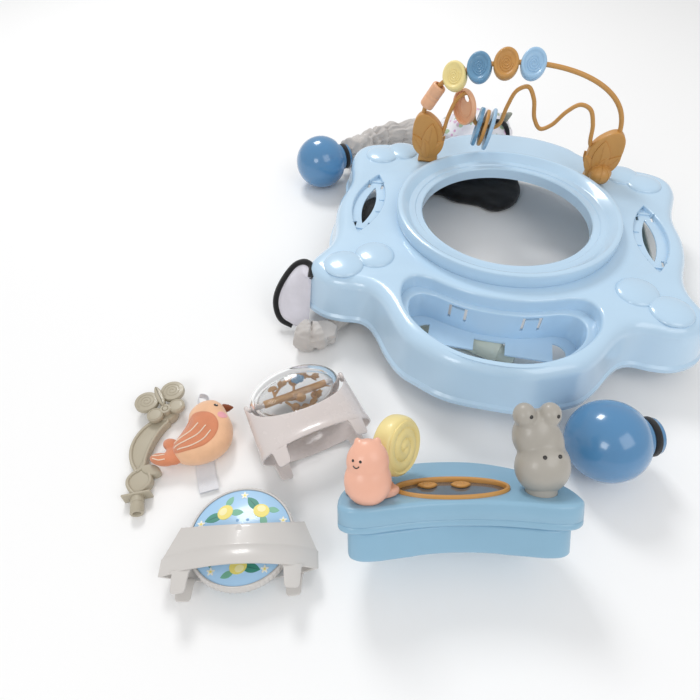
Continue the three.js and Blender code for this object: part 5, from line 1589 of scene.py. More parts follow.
print_lift = 0.12 * MM
print_sink = 0.3 * MM
print_colours = {
    "fruit": "f3e27a", "fruit_light": "f9efb4", "leaf": "3f8f7c", "leaf_light": "78b79a",
    "leaf_vein": "2c7268", "blossom": "f4f1e4", "dot": "86b4e0"}
print_inks = {ink: plastic("print_" + ink, code, 0.35, 0.3, 0.04, 0.05)
              for ink, code in print_colours.items()}
print_patches = {ink: [] for ink in print_colours}


def inlay(ink, outline, layer):
    """A printed patch on both faces of the disc, kept with the others of its ink."""
    for face in (-1, 1):
        low, high = sorted((face * (disc_half - print_sink),
                            face * (disc_half + print_lift * layer)))
        print_patches[ink].append(plain_block("print_patch", outline, low, high))


sprig_count = 5
sprig_reach = 38 * MM
blossom_reach = 54 * MM
dot_reach = 21 * MM
petal_count = 5


def petal_line(size, count=60):
    """A flower's outline: a circle that waves once for each petal."""
    return [point * (0.75 + 0.25 * math.cos(petal_count * 2 * math.pi * index / count))
            for index, point in enumerate(oval(size, size, count))]


# ink, outline, place along the radius and across it in millimetres, turn and layer
sprig_motifs = [
    ("leaf", pointed_oval(25 * MM, 12 * MM), (3, 14.5), -14, 1),
    ("leaf_vein", pointed_oval(20 * MM, 1.2 * MM), (3, 14.5), -14, 2),
    ("leaf_light", pointed_oval(19 * MM, 9 * MM), (-8, -11), -38, 1),
    ("leaf_light", pointed_oval(17 * MM, 8 * MM), (10, -12), 24, 1),
    ("fruit", oval(18 * MM, 21 * MM), (1, 0), 18, 3),
    ("fruit_light", oval(9 * MM, 11 * MM), (3.4, 1.6), 18, 4)]
for number in range(sprig_count):
    spin = 360 / sprig_count * number + 54
    around = turn_about("Z", spin) @ shift((sprig_reach, 0, 0))
    for ink, outline, place, turn, layer in sprig_motifs:
        spot = around @ shift(mm(*place, 0)) @ turn_about("Z", turn)
        inlay(ink, [spot @ point for point in outline], layer)
    between = turn_about("Z", spin + 180 / sprig_count)
    blossom_spot = between @ shift((blossom_reach, 0, 0))
    inlay("blossom", [blossom_spot @ point for point in petal_line(10 * MM)], 5)
    inlay("fruit", [blossom_spot @ point for point in oval(3 * MM, 3 * MM, 24)], 6)
    for swing in (-18, 18):
        dot_spot = between @ turn_about("Z", swing) @ shift((dot_reach, 0, 0))
        inlay("dot", [dot_spot @ point for point in oval(4 * MM, 4 * MM, 24)], 1)
inlay("blossom", petal_line(17 * MM), 1)
for ink, patches in print_patches.items():
    print_count = len(patches)
    printed = placed(merged("print_" + ink, patches), wheel_spot)
    dress(printed, "picture_wheel", "picture", print_inks[ink])
    print("printed", print_count, ink, "patches")

# %% [markdown]
# ## Dome toy
# The second toy is a clear oval globe that rolls on an axle between the horns of its housing. The
# housing uses the same wall builder as the bracket; here its top edge sweeps up into a horn at
# each end, and a ball cut out of it leaves room for the globe to turn.

# %% Housing with horns
globe_middle = 88 * MM
dome_turn = 38
dome_lie = -86.236
dome_frame = toy_frame("globe_spin", (0, 0, globe_middle), dome_turn, dome_lie)
dome_length = 164 * MM
dome_depth = 66 * MM
dome_low = oval(dome_length, dome_depth, 96)
dome_top = oval(158 * MM, 76 * MM, 96)
globe_half = 70 * MM
globe_radius = 40 * MM
housing_height = 76 * MM


def horned(reach):
    return (37 + 29 * reach ** 2 + 28 * reach ** 9) * MM


housing = cradle("housing", dome_low, dome_top, housing_height, horned, 0.08, bracket_wall, 9 * MM,
                 0.9 * MM)
room = ball("globe_room", (globe_half + 0.6 * MM, globe_radius + 1.5 * MM, globe_radius + 1.5 * MM),
            (0, 0, globe_middle), 96, 48)
cut(housing, room)
housing_parts = [housing]
dome_tab_spread = 112 * MM
dome_seat = dome_depth / 2 * math.sqrt(1 - (dome_tab_spread / dome_length) ** 2)
housing_parts += tabs_at(dome_tab_spread, dome_seat, 20)
dome_axle = peg_form("dome_axle", axle_radius, -77 * MM, 77 * MM)
placed(dome_axle, shift((0, 0, globe_middle)) @ turn_about("Y", 90))
housing_parts.append(dome_axle)
for side in (-1, 1):
    boss = turned("boss", mm_pairs([
        (0.3, -3), (6.6, -3), (7.4, -2), (7.4, 1), (6, 2.4), (0.3, 2.6)]), 40)
    placed(boss, shift((side * 75.5 * MM, 0, globe_middle)) @ turn_about("Y", 90 * side))
    housing_parts.append(boss)
housing = merged("dome_housing", housing_parts)
finished(housing, dome_frame, 45, "dome_toy", "blush_white", blush_plastic, ["dome_cradle"])
print("housing:", len(housing.data.polygons), "faces")

# %% [markdown]
# The globe is blown clear plastic with a real wall, so light bends twice through it. Inside, an
# ochre twig with leaves and small mushrooms rides round the axle with a blue flower.

# %% Clear globe and its twig


def clear_plastic(name):
    material, tree, shader = node_tree(name)
    filled(shader, {
        "Base Color": ramp(tree, noise_at(tree, 14.0), (0.93, 0.94, 0.95), (1, 1, 1)),
        "Roughness": range_of(tree, noise_at(tree, 40.0), 0.02, 0.08),
        "Normal": bump_of(tree, noise_at(tree, 30.0, 2.0), 0.06, 0.4 * MM),
        "Transmission Weight": 0.96, "IOR": 1.3})
    return material


globe_wall = 2.5 * MM
bore_share = 4.3 * MM / globe_radius
globe_profile = []
for step in range(41):
    angle = math.pi * step / 40
    globe_profile.append((max(globe_radius * math.sin(angle), globe_radius * bore_share),
                          globe_half * math.cos(angle)))
for step in range(40, -1, -1):
    angle = math.pi * step / 40
    globe_profile.append((
        max((globe_radius - globe_wall) * math.sin(angle), globe_radius * bore_share + 0.6 * MM),
        (globe_half - 2 * globe_wall) * math.cos(angle)))
globe = hoop_of("globe_dressed", globe_profile, 96)
globe_spot = dome_frame @ shift((0, 0, globe_middle))
placed(globe, globe_spot @ turn_about("Y", 90))
dress(smooth(globe, 60), "globe_roller", "clear", clear_plastic("globe_clear"), ["globe"])

twig_half = 49 * MM
twig = hoop_of("twig_sleeve", [
    (4.4 * MM, -twig_half), (5.4 * MM, -twig_half), (5.8 * MM, -twig_half + 1 * MM),
    (5.2 * MM, -twig_half * 0.3), (5.7 * MM, twig_half * 0.2), (5.4 * MM, twig_half),
    (4.4 * MM, twig_half)], 40)
placed(twig, turn_about("Y", 90))
twig_parts = [twig]


def leaf_sprig(length, width):
    leaf = rounded_slab("sprig_leaf", pointed_oval(length, width, 28), -0.9 * MM, 0.9 * MM,
                        0.6 * MM, 2)
    placed(leaf, shift((0, length / 2, 0)))
    return leaf


branch_lines = [
    [(-44, 5, 2), (-22, 14, 6), (2, 20, 4), (26, 16, 8), (44, 10, 4)],
    [(-30, -6, 6), (-12, -16, 14), (10, -20, 14), (30, -14, 10)],
    [(-18, 2, -6), (-6, 8, -18), (12, 6, -24), (28, 4, -16)],
    [(0, 0, 6), (6, -8, 18), (16, -6, 25)]]
for line in branch_lines:
    points = spline(mm_line(line), 22, False)
    twig_parts.append(rod_along("twig_branch", points, 2 * MM, 3))
    for index in (4, 10, 15, 21):
        for fan in (-38, 0, 38):
            leaf = leaf_sprig(14 * MM, 7.5 * MM)
            way = (points[index] - points[index - 1]).to_track_quat("Y", "Z").to_matrix().to_4x4()
            placed(leaf, shift(points[index]) @ way @ turn_about("Z", fan) @ turn_about("Y", fan))
            twig_parts.append(leaf)
for x, lean in ((-30, 40), (4, 150), (31, 260)):
    cap = turned("mushroom", mm_pairs([
        (0.3, 0), (2.2, 0), (1.9, 15), (6.6, 15.5), (7.6, 17), (6.8, 19.5), (4.2, 21.5),
        (0.3, 22.3)]), 28)
    placed(cap, shift((x * MM, 0, 0)) @ turn_about("X", lean))
    twig_parts.append(cap)
twig = merged("globe_twig", twig_parts)
finished(twig, globe_spot, 45, "globe_roller", "ochre", ochre_plastic, ["globe_branch"])
bloom_parts = [ball("bloom_heart", mm(4, 4, 4), mm(8, -25, 8), 24, 16)]
for step in range(6):
    turn = math.radians(60 * step)
    bloom_parts.append(ball("bloom_petal", mm(4.4, 3, 4.4), Vector((
        8 + 6 * math.cos(turn), -24 + 3 * math.sin(turn), 8 + 6 * math.sin(turn))) * MM, 20, 12))
bloom = merged("globe_bloom", bloom_parts)
finished(bloom, globe_spot, 40, "globe_roller", "slate_blue", slate_plastic)
print("globe and twig ready")

# %% [markdown]
# ## Stalk with its butterfly
# The stalk is a flat moulding with a raised border round each of its panels. One helper stacks a
# soft-edged slab whose top drops inside the border. The butterfly on its knob has the same soft
# edges, with a raised spiral on each wing.

# %% Stalk
stalk_origin = opening @ shift((-434 * MM, -tray_front - 144 * MM, 0))
stalk_thickness = 15 * MM


def bordered_slab(name, outline, low, high, edge, border, sink):
    """A soft-edged slab with a sunk field inside a raised, rounded border."""
    outline = anticlockwise(outline)
    slab = rounded_slab(name, outline, low, high - sink, edge)
    places = [Vector((point.x, point.y, high - border / 2))
              for point in grown(outline, -border / 2)]
    rail = rod_along(name + "_rail", places + places[:2], border / 2, 4)
    return merged(name, [slab, rail])


crescent_middle = mm(24, -2, 0)
crescent_radius = 64 * MM
crescent_width = 31 * MM
outer_arc = []
inner_arc = []
for step in range(49):
    share = step / 48
    way = Vector(polar(1, math.radians(136 + 90 * share), 0))
    swell = crescent_width / 2 * math.sin(math.pi * (10 * share + 2) / 14)
    outer_arc.append(crescent_middle + way * (crescent_radius + swell))
    inner_arc.append(crescent_middle + way * (crescent_radius - swell))
crescent_line = spline((outer_arc + inner_arc[::-1])[::4], 150)
crescent = bordered_slab("crescent", crescent_line, 0, stalk_thickness, 2.5 * MM, 5 * MM, 2.6 * MM)
knob_spot = mm(-29, 51, 0)
knob_disc = turned("stalk_knob", [
    (core, 0), (13.5 * MM, 0), (16 * MM, 2.5 * MM), (16 * MM, stalk_thickness - 2.5 * MM),
    (13.5 * MM, stalk_thickness), (core, stalk_thickness)])
placed(knob_disc, shift(knob_spot))
panel = bordered_slab("leaf_panel", pointed_oval(46 * MM, 36 * MM, 72), 0, stalk_thickness,
                      2.5 * MM, 5 * MM, 2.4 * MM)
placed(panel, shift(mm(-16, -62, 0)) @ turn_about("Z", 10.4))
hook = rounded_slab("stalk_hook", oval(28 * MM, 16 * MM, 56), 0, stalk_thickness, 3 * MM)
placed(hook, shift(mm(-8, -43, 0)))
flange = rounded(block("flange", mm(38, 3, 19.5), mm(0, -1.5, 9.75)), 1 * MM, 3)
plug = hoop_of("plug", mm_pairs([
    (5, 9), (5, 26.4), (5.6, 27), (8.2, 27), (9, 26), (9, 14), (8.3, 13.4), (8.3, 11.6), (9, 11),
    (9, 0), (0.4, 0), (0.4, 9)]), 48)
placed(plug, shift((0, 0, 9 * MM)) @ turn_about("X", 90))
fitting = shift(mm(-9, -81, 0)) @ turn_about("Z", 26)
placed(flange, fitting)
placed(plug, fitting)
pin_top = stalk_thickness + 9.3 * MM
stalk_pin = turned("stalk_pin", [
    (core, 1 * MM), (4 * MM, 1 * MM), (4 * MM, pin_top - 0.8 * MM), (3.2 * MM, pin_top),
    (core, pin_top)], 32)
placed(stalk_pin, shift(knob_spot))
stalk = merged("stalk_dressed", [crescent, knob_disc, panel, hook, flange, plug, stalk_pin])
finished(stalk, stalk_origin, 45, "stalk_toy", "sand", sand_plastic, ["stalk"])
print("stalk:", len(stalk.data.polygons), "faces")

# %% Butterfly
wing_thickness = 9 * MM
hub_bore = 4.3 * MM


def spiral_wing(radius, x, y):
    wing = turned("wing", [
        (core, 0), (radius - 2 * MM, 0), (radius - 0.5 * MM, 0.7 * MM), (radius, 2 * MM),
        (radius, wing_thickness - 2.6 * MM), (radius - 0.7 * MM, wing_thickness - 1.2 * MM),
        (radius - 2.2 * MM, wing_thickness - 0.8 * MM), (core, wing_thickness - 0.8 * MM)], 56)
    turns = 2.6
    line = []
    for step in range(80):
        turn = 2 * math.pi * turns * step / 80
        reach = radius * (0.1 + 0.68 * step / 80)
        line.append(Vector(polar(reach, turn, wing_thickness - 0.9 * MM)))
    wing = merged("wing", [wing, rod_along("wing_spiral", line, 0.9 * MM, 2)])
    return placed(wing, shift(mm(x, y, 0)))


wing_hole = drum("wing_hole", hub_bore, -5 * MM, 30 * MM, 32)
wing_parts = [spiral_wing(18 * MM, side * 20, 28) for side in (-1, 1)]
for side in (-1, 1):
    small = rounded_slab("small_wing", oval(24 * MM, 24 * MM, 48), 0, wing_thickness - 0.8 * MM,
                         2 * MM)
    placed(small, shift(mm(side * 16.5, -2, 0)))
    wing_parts.append(small)
    rail = circle(9.4 * MM, wing_thickness - 1 * MM, 48)
    rail = [Vector(point) + mm(side * 16.5, -2, 0) for point in rail]
    wing_parts.append(rod_along("wing_rail", rail + rail[:2], 1 * MM, 2))
for small in wing_parts:
    if small.name.startswith("small_wing"):
        cut(small, copied(wing_hole, "hole_copy"))
bpy.data.objects.remove(wing_hole)
torso = rounded_slab("torso", oval(11 * MM, 40 * MM, 48), 0, wing_thickness + 2.4 * MM, 2.4 * MM)
placed(torso, shift(mm(0, 26, 0)))
wing_parts.append(torso)
wing_parts.append(hoop_of("wing_hub", [
    (hub_bore, 0), (8.2 * MM, 0), (8.2 * MM, wing_thickness - 1 * MM),
    (7.2 * MM, wing_thickness), (5 * MM, wing_thickness), (hub_bore, wing_thickness - 0.8 * MM)],
    48))
butterfly = merged("butterfly_dressed", wing_parts)
placed(butterfly, stalk_origin @ shift(
    knob_spot + Vector((0, 0, stalk_thickness + gap))) @ turn_about("Z", 44))
dress(smooth(butterfly, 40), "butterfly_wheel", "sand", sand_plastic, ["butterfly"])
print("butterfly:", len(butterfly.data.polygons), "faces")

# %% [markdown]
# ## Stuffed bird
# The bird is a plush toy on its side. Its two sides are cut to one outline and sewn together, so
# the body is stacked outlines that draw in towards the top and the bottom. A pressure simulation
# then fills it as stuffing would. The wing, cheek and eye are sewn patches: their outlines are
# laid over the body by casting a ray down at every point.

# %% Fill a cloth form


def puffed(piece, voxel, pressure, cap, rounds=20):
    """Remeshes a closed form, blows it up a little as cloth, and limits how far it moves."""
    finish_with(piece, "REMESH", mode="VOXEL", voxel_size=voxel, adaptivity=0)
    start = [vertex.co.copy() for vertex in piece.data.vertices]
    pick(piece)
    modifier = piece.modifiers.new("Cloth", "CLOTH")
    settings = dict(quality=4, mass=0.2, tension_stiffness=12, compression_stiffness=12,
                    bending_stiffness=0.4, use_pressure=True, uniform_pressure_force=pressure)
    for key, value in settings.items():
        setattr(modifier.settings, key, value)
    modifier.settings.effector_weights.gravity = 0
    for number in range(1, rounds + 1):
        bpy.context.scene.frame_set(number)
    settled = piece.evaluated_get(bpy.context.evaluated_depsgraph_get())
    moved = [vertex.co.copy() for vertex in settled.data.vertices]
    piece.modifiers.remove(modifier)
    bpy.context.scene.frame_set(1)
    for vertex, before, after in zip(piece.data.vertices, start, moved):
        step = after - before
        if step.length > cap:
            step = step.normalized() * cap
        vertex.co = before + step
    finish_with(piece, "SMOOTH", factor=0.4, iterations=3)
    return subdivided(piece, 1)


# %% Bird body
bird_origin = opening @ shift((-392 * MM, -tray_front - 120 * MM, 0))
bird_height = 42 * MM
bird_points = [
    (-28, -14), (-26, 5), (-32, 27), (-23, 48), (-4, 57), (13, 51), (25, 38), (40, 21), (47, -8),
    (36, -32), (14, -48), (-14, -52), (-30, -38)]
bird_line = anticlockwise(spline(mm_line(bird_points), 120))
bird_round = 23 * MM
bird_levels = []
for step in range(-9, 10):
    level = step / 9
    inset = bird_round * (1 - math.sqrt(max(1 - abs(level) ** 2.2, 0))) + 1.2 * MM
    bird_levels.append(at_height(shrunk(bird_line, inset),
                                 bird_height / 2 + level * (bird_height / 2 - 1.2 * MM)))
bird_body = stacked("bird_body_dressed", bird_levels)
puffed(bird_body, 3 * MM, 3, 4 * MM)
kept_above(bird_body, 0.2 * MM)
plush_peach = cloth("plush_peach", "f0bf98", 520.0, 0.95, 0.35, 0.05, 0.5)
plush_orange = cloth("plush_orange", "d98b66", 520.0, 0.95, 0.4, 0.06, 0.5)
plush_brown = cloth("plush_brown", "8a4a2c", 520.0, 0.9, 0.4, 0.06, 0.3)
plush_pink = cloth("plush_pink", "efa9b2", 520.0, 0.9, 0.3, 0.04, 0.4)
thread_cream = cloth("thread_cream", "f3ddc6", 900.0, 0.8, 0.4, 0.03, 0.2)
label_white = cloth("label_white", "e4e6eb", 700.0, 0.85, 0.3, 0.02, 0.15)
print("bird body:", len(bird_body.data.polygons), "faces")


def top_of(piece, x, y, lift=0.0):
    hit, place, _, _ = piece.ray_cast(Vector((x, y, 1)), Vector((0, 0, -1)))
    return Vector((x, y, (place.z if hit else 0) + lift))


patch_shares = [
    (1.0, -0.6), (1.005, 0.4), (0.985, 1.0), (0.93, 1.15), (0.8, 1.1), (0.62, 1.1), (0.42, 1.1),
    (0.22, 1.1), (0.03, 1.1)]


def sewn_patch(name, piece, outline, thickness):
    """A thin patch over a piece: rings that shrink to the middle, each laid on the surface."""
    middle = sum((Vector(point) for point in outline), Vector()) / len(outline)
    loops = []
    for share, lift in patch_shares:
        loop = []
        for point in outline:
            spot = middle + (Vector(point) - middle) * share
            loop.append(top_of(piece, spot.x, spot.y, lift * thickness))
        loops.append(loop)
    return stacked(name, loops)


def sewn_line(name, piece, points, radius, count=36):
    places = spline(mm_line(points), count, False)
    return rod_along(name, [top_of(piece, place.x, place.y, radius * 0.2) for place in places],
                     radius, 3)


wing_points = [
    (-23, 6), (-17, 18), (-3, 24), (12, 22), (24, 10), (27, -8), (19, -26), (2, -38), (-14, -44),
    (-25, -42), (-28, -30), (-24, -12)]
wing_line = anticlockwise(spline(mm_line(wing_points), 110))
bird_wing = sewn_patch("bird_wing", bird_body, wing_line, 0.9 * MM)
stitch_lines = [
    [(-26, -31), (-17, -22), (-8, -11), (-3, 3)],
    [(-23, -38), (-9, -28), (4, -14), (9, 2)],
    [(-16, -41), (0, -34), (14, -20), (19, -4)]]
stitch_rods = [sewn_line("wing_stitch", bird_wing, line, 0.95 * MM) for line in stitch_lines]
wing_seam = sewn_line("wing_seam", bird_body, [*wing_points, wing_points[0]], 0.5 * MM, 150)
cheek_line = moved(oval(13 * MM, 12 * MM, 40), mm(23, 27, 0))
eye_line = moved(oval(6 * MM, 4.2 * MM, 32), mm(8, 40, 0))
glint_line = moved(oval(1.6 * MM, 1.2 * MM, 16), mm(8.6, 40.8, 0))
cheek = sewn_patch("bird_cheek", bird_body, cheek_line, 0.5 * MM)
eye = sewn_patch("bird_eye", bird_body, eye_line, 0.9 * MM)
eye_glint = sewn_patch("bird_glint", eye, glint_line, 0.3 * MM)
finished(bird_body, bird_origin, 60, "bird_toy", "plush_peach", plush_peach, ["bird_body"])
for piece, slot, material in (
        (bird_wing, "plush_orange", plush_orange), (wing_seam, "plush_orange", plush_orange),
        (cheek, "plush_peach", plush_pink), (eye, "dark_window", ink_plastic),
        (eye_glint, "tag_white", label_white)):
    finished(piece, bird_origin, 60, "bird_toy", slot, material)
stitches = merged("wing_stitches", stitch_rods)
finished(stitches, bird_origin, 40, "bird_toy", "plush_peach", thread_cream)
print("bird patches sewn")

# %% [markdown]
# The tail is two stuffed lobes that lie over the stalk, so its underside is cut flat just above
# the stalk's top. The beak is a small stuffed cone. A white label folded double lies under the
# belly, and a loop of white tape is sewn in at the nape.

# %% Tail, beak, label and loop
tail_low = stalk_thickness + gap
tail_middle = stalk_thickness + 6.7 * MM
tail_parts = [ball("tail_root", mm(15.2, 18, 8), (-22 * MM, -40 * MM, tail_middle))]
# each lobe's place in millimetres, its turn in degrees and its share of the full length
for x, y, turn, share in ((-36, -53, 184, 1), (-34, -29, 166, 0.72)):
    lobe = ball("tail_lobe", (19 * MM * share, 9.5 * MM, 8 * MM), (0, 0, 0))
    placed(lobe, shift((x * MM, y * MM, tail_middle)) @ turn_about("Z", turn))
    tail_parts.append(lobe)
tail = melted("bird_tail_dressed", tail_parts, 1.5 * MM, 4)
cut(tail, all_below(tail_low))
tail_keep = plain_block("tail_keep", shrunk(bird_line, 12 * MM), -10 * MM, 80 * MM)
cut(tail, tail_keep)
tail_lines = [sewn_line("tail_stitch", tail, line, 0.8 * MM, 20) for line in (
    [(-50, -53), (-42, -52), (-34, -48)], [(-48, -57), (-38, -58), (-30, -55)])]
finished(tail, bird_origin, 60, "bird_toy", "plush_orange", plush_orange, ["bird_tail"])
tail_stitches = merged("tail_stitches", tail_lines)
finished(tail_stitches, bird_origin, 40, "bird_toy", "plush_peach", thread_cream)
beak = turned("bird_beak_dressed", mm_pairs([
    (0.3, -3), (6.4, -2), (7, 0), (6.4, 3), (4.9, 7), (2.8, 11), (1.2, 13.4), (0.2, 14)]), 40)
beak_seam = hoop_of("beak_seam", mm_pairs([(3.2, 7), (4.5, 6.4), (5.5, 6.6), (5.1, 7.4)]), 40)
beak = merged("bird_beak_dressed", [beak, beak_seam])
placed(beak, shift((14 * MM, 48 * MM, bird_height / 2)) @ turn_about("Z", 22) @ turn_about("Y", 90))
finished(beak, bird_origin, 50, "bird_toy", "plush_brown", plush_brown, ["bird_beak"])


def ribbon(name, points, width, thickness, side=(0, 0, 1), count=40):
    """A flat tape along a line, with its width towards one side."""
    line = spline(mm_line(points), count, False)
    pick()
    bpy.ops.mesh.primitive_grid_add(x_subdivisions=3, y_subdivisions=count - 1, size=1)
    tape = bpy.context.object
    tape.name = name
    across = Vector(side).normalized()
    for index, vertex in enumerate(tape.data.vertices):
        row, column = divmod(index, 4)
        vertex.co = line[min(row, count - 1)] + across * width * (column / 3 - 0.5)
    finish_with(tape, "SOLIDIFY", thickness=thickness, offset=0)
    return tape


label_width = 26 * MM
label_parts = []
for layer, (lift, swing) in enumerate(((0.5, 0), (1.5, 5))):
    line = [(12, -30, 1.2 + lift), (18, -41, 0.7 + lift), (26, -55, 0.5 + lift),
            (38 + swing * 0.3, -75, 0.6 + lift * (1 + 0.4 * swing))]
    label_parts.append(ribbon("label_leaf", line, label_width, 0.4 * MM, (0.866, 0.5, 0)))
label = kept_above(merged("bird_label", label_parts), 0.1 * MM)
finished(label, bird_origin, 60, "bird_toy", "tag_white", label_white, ["bird_tag"])
loop = ribbon("bird_loop", [
    (-21, 40, 24), (-27, 50, 26), (-31, 60, 22), (-30, 68, 13), (-26, 70, 7), (-21, 64, 6),
    (-19, 54, 12), (-18, 46, 18)], 10 * MM, 0.8 * MM, (0.35, 0.2, 0.9))
finished(loop, bird_origin, 60, "bird_toy", "tag_white", label_white)
print("tail, beak, label and loop ready")

# %% [markdown]
# ## Sleeves of gathered cloth
# The legs' cloth sleeves lie pushed together, so they are soft tubes along a smooth line. At a
# few places the cloth is drawn in, and pleats fan out from there into the puffs between. The
# shape comes from sines and noise with fixed offsets, so each run gives the same folds.

# %% Gathered sleeves
sleeve_radius = 32 * MM
sleeve_cloth = cloth("sleeve_cloth", "c9c4c0", 480.0, 0.9, 0.45, 0.06, 0.35)


def cloth_tube(name, route, rings, around, girth, ceiling):
    line = spline(route, rings, False)
    loops = []
    side = Vector((0, 0, 1))
    for index, place in enumerate(line):
        ahead = (line[min(index + 1, rings - 1)] - line[max(index - 1, 0)]).normalized()
        side = (side - ahead * side.dot(ahead)).normalized()
        other = ahead.cross(side)
        share = index / (rings - 1)
        loop = []
        for turn in turns_of(around):
            reach = girth(share, turn)
            point = place + side * reach * math.cos(turn) + other * reach * math.sin(turn)
            point.z = min(max(point.z, 0.4 * MM + 0.5 * MM * abs(math.sin(9 * share + 3 * turn))),
                          ceiling(share) if ceiling else 1)
            loop.append(point)
        loops.append(loop)
    return stacked(name, loops)


def folds(share, turn, gathers, depth):
    """Pleats that fan out from each drawn-in place, and slack cloth with creases between."""
    wander = 0.012 * math.sin(2 * turn + 40 * share)
    nearest = min(abs(share + wander - place) for place in gathers)
    drawn = math.exp(-((nearest / 0.028) ** 2))
    fan = math.exp(-nearest / 0.055)
    sway = noise.noise(Vector((share * 8, 1.3, 0.4)))
    pleats = math.cos(9 * turn + 5 * sway) + 0.5 * math.cos(15 * turn + 9 * share)
    slack = noise.noise(Vector((share * 6, math.cos(turn) * 1.3, math.sin(turn) * 1.3)))
    crease = abs(noise.noise(Vector((share * 13 + 2 * math.sin(turn), math.cos(turn) * 2.4,
                                     math.sin(turn) * 2.4))))
    return depth * (0.5 * pleats * fan - 1.9 * drawn + 1.1 * slack - 1.2 * crease + 0.3)


def neck_end(x, y, turn):
    reach = bulb_length - bulb_radius + 0.6 * MM
    return (x + reach * math.cos(math.radians(turn)), y + reach * math.sin(math.radians(turn)),
            bulb_radius)


half = tray_half_width
lie = sleeve_radius * 0.95
first_neck = neck_end(*leg_top_places[0])
third_neck = neck_end(*leg_top_places[2])
long_route = [
    first_neck, (-1.035 * half, 0.86 * tray_back, bulb_radius * 0.8),
    (-1.0 * half, 1.07 * tray_back, lie), (-0.87 * half, 1.235 * tray_back, lie),
    (-0.66 * half, 1.345 * tray_back, lie), (-0.5 * half, 1.4 * tray_back, lie * 1.1)]


def tip_of(share, low=0.55, high=0.6):
    return min(1, 8 * share + low, 8 * (1 - share) + high)


def long_girth(share, turn):
    return (sleeve_radius * tip_of(share) * (1 - 0.08 * share)
            + folds(share, turn, (0.03, 0.19, 0.4, 0.5, 0.58, 0.7, 0.84, 0.95), 4.6 * MM))


under_lip = lip_height * 0.46
short_route = [
    third_neck, (-0.68 * half, -0.427 * tray_front, bulb_radius * 1.14),
    (-0.73 * half, -0.537 * tray_front, bulb_radius * 0.85),
    (-0.785 * half, -0.65 * tray_front, under_lip),
    (-0.82 * half, -0.725 * tray_front, under_lip * 1.6),
    (-0.87 * half, -0.75 * tray_front, under_lip * 1.6),
    (-0.94 * half, -0.735 * tray_front, under_lip * 1.6)]


def short_girth(share, turn):
    pinch = 1 - 0.5 * math.exp(-(((share - 0.5) / 0.09) ** 2))
    return (sleeve_radius * 0.8 * tip_of(share) * pinch
            + folds(share, turn, (0.14, 0.34, 0.66, 0.8), 3.4 * MM))


def below_lip(share):
    return lip_height - 1 * MM if 0.36 < share < 0.7 else 90 * MM


for name, node, route, girth, ceiling, rings in (
        ("sleeve_long", "sleeve_1", long_route, long_girth, None, 200),
        ("sleeve_short", "sleeve_2", short_route, short_girth, below_lip, 150)):
    sleeve = cloth_tube(name, route, rings, 100, girth, ceiling)
    placed(sleeve, opening)
    dress(smooth(sleeve, 70), "base", "grey_cloth", sleeve_cloth, [node])
    print(name, len(sleeve.data.polygons), "faces")

# %% [markdown]
# ## Folded seat
# The seat's black underside lies flat below the tray and shows through its openings. Behind the
# arch its printed pad is bundled up with a black binding. On the left a padded flap leans on the
# tray's corner. The base is a slab that is filled by the same simulation as the bird.

# %% Black underside
base_thickness = 24 * MM
base_points = [
    (-0.83, -0.2), (-0.66, -0.21), (-0.64, 0.12), (-0.56, 0.48), (-0.41, 0.63), (-0.27, 0.57),
    (-0.12, 0.56), (-0.02, 0.52), (0.1, 0.6), (0.15, 0.76), (0.12, 0.95), (0.05, 1.2),
    (-0.12, 1.42), (-0.34, 1.4), (-0.44, 1.15), (-0.56, 0.85), (-0.78, 0.45), (-0.85, 0.1)]
base_line = anticlockwise(spline([
    (across * half, along * (tray_front if along < 0 else tray_back), 0)
    for across, along in base_points], 160))
black_pad = rounded_slab("black_pad", base_line, 1 * MM, base_thickness - 3 * MM, 9 * MM, 5)
puffed(black_pad, 6 * MM, 3, 3 * MM)
for vertex in black_pad.data.vertices:
    ripple = noise.noise(vertex.co * 22) + 0.6 * noise.noise(vertex.co * 60)
    vertex.co.z = min(max(vertex.co.z + 1.8 * MM * ripple, 0.1 * MM), base_thickness + 1 * MM)
black_cloth = cloth("black_cloth", "1b1b1d", 420.0, 0.85, 0.5, 0.25, 0.3)
finished(black_pad, opening, 70, "base", "black_cloth", black_cloth, ["seat_base"])
bunch_top = lens_floor - 5 * tray_wall
bunch_loops = []
for step in range(13):
    share = step / 12
    swell = 1 - 0.22 * share ** 2 - 0.5 * share ** 12
    bunch_loops.append([
        Vector((point.x * swell - lens_x, point.y * swell + lens_y + 16 * MM * (1 - share),
                base_thickness * 0.7 + (bunch_top - base_thickness * 0.7) * share
                + 3 * MM * share * noise.noise(point * 40)))
        for point in oval(64 * MM, 170 * MM, 80)])
bunch = stacked("black_bunch", bunch_loops)
finished(bunch, opening, 70, "base", "black_cloth", black_cloth)
print("black underside:", len(black_pad.data.polygons), "faces")

# %% [markdown]
# The printed cloth is white with a scatter of small sprigs. The scatter comes from a Voronoi
# pattern: the spot round each random point is a leaf or a bud, and the cell's own random colour
# says which.

# %% Printed bundle with its binding


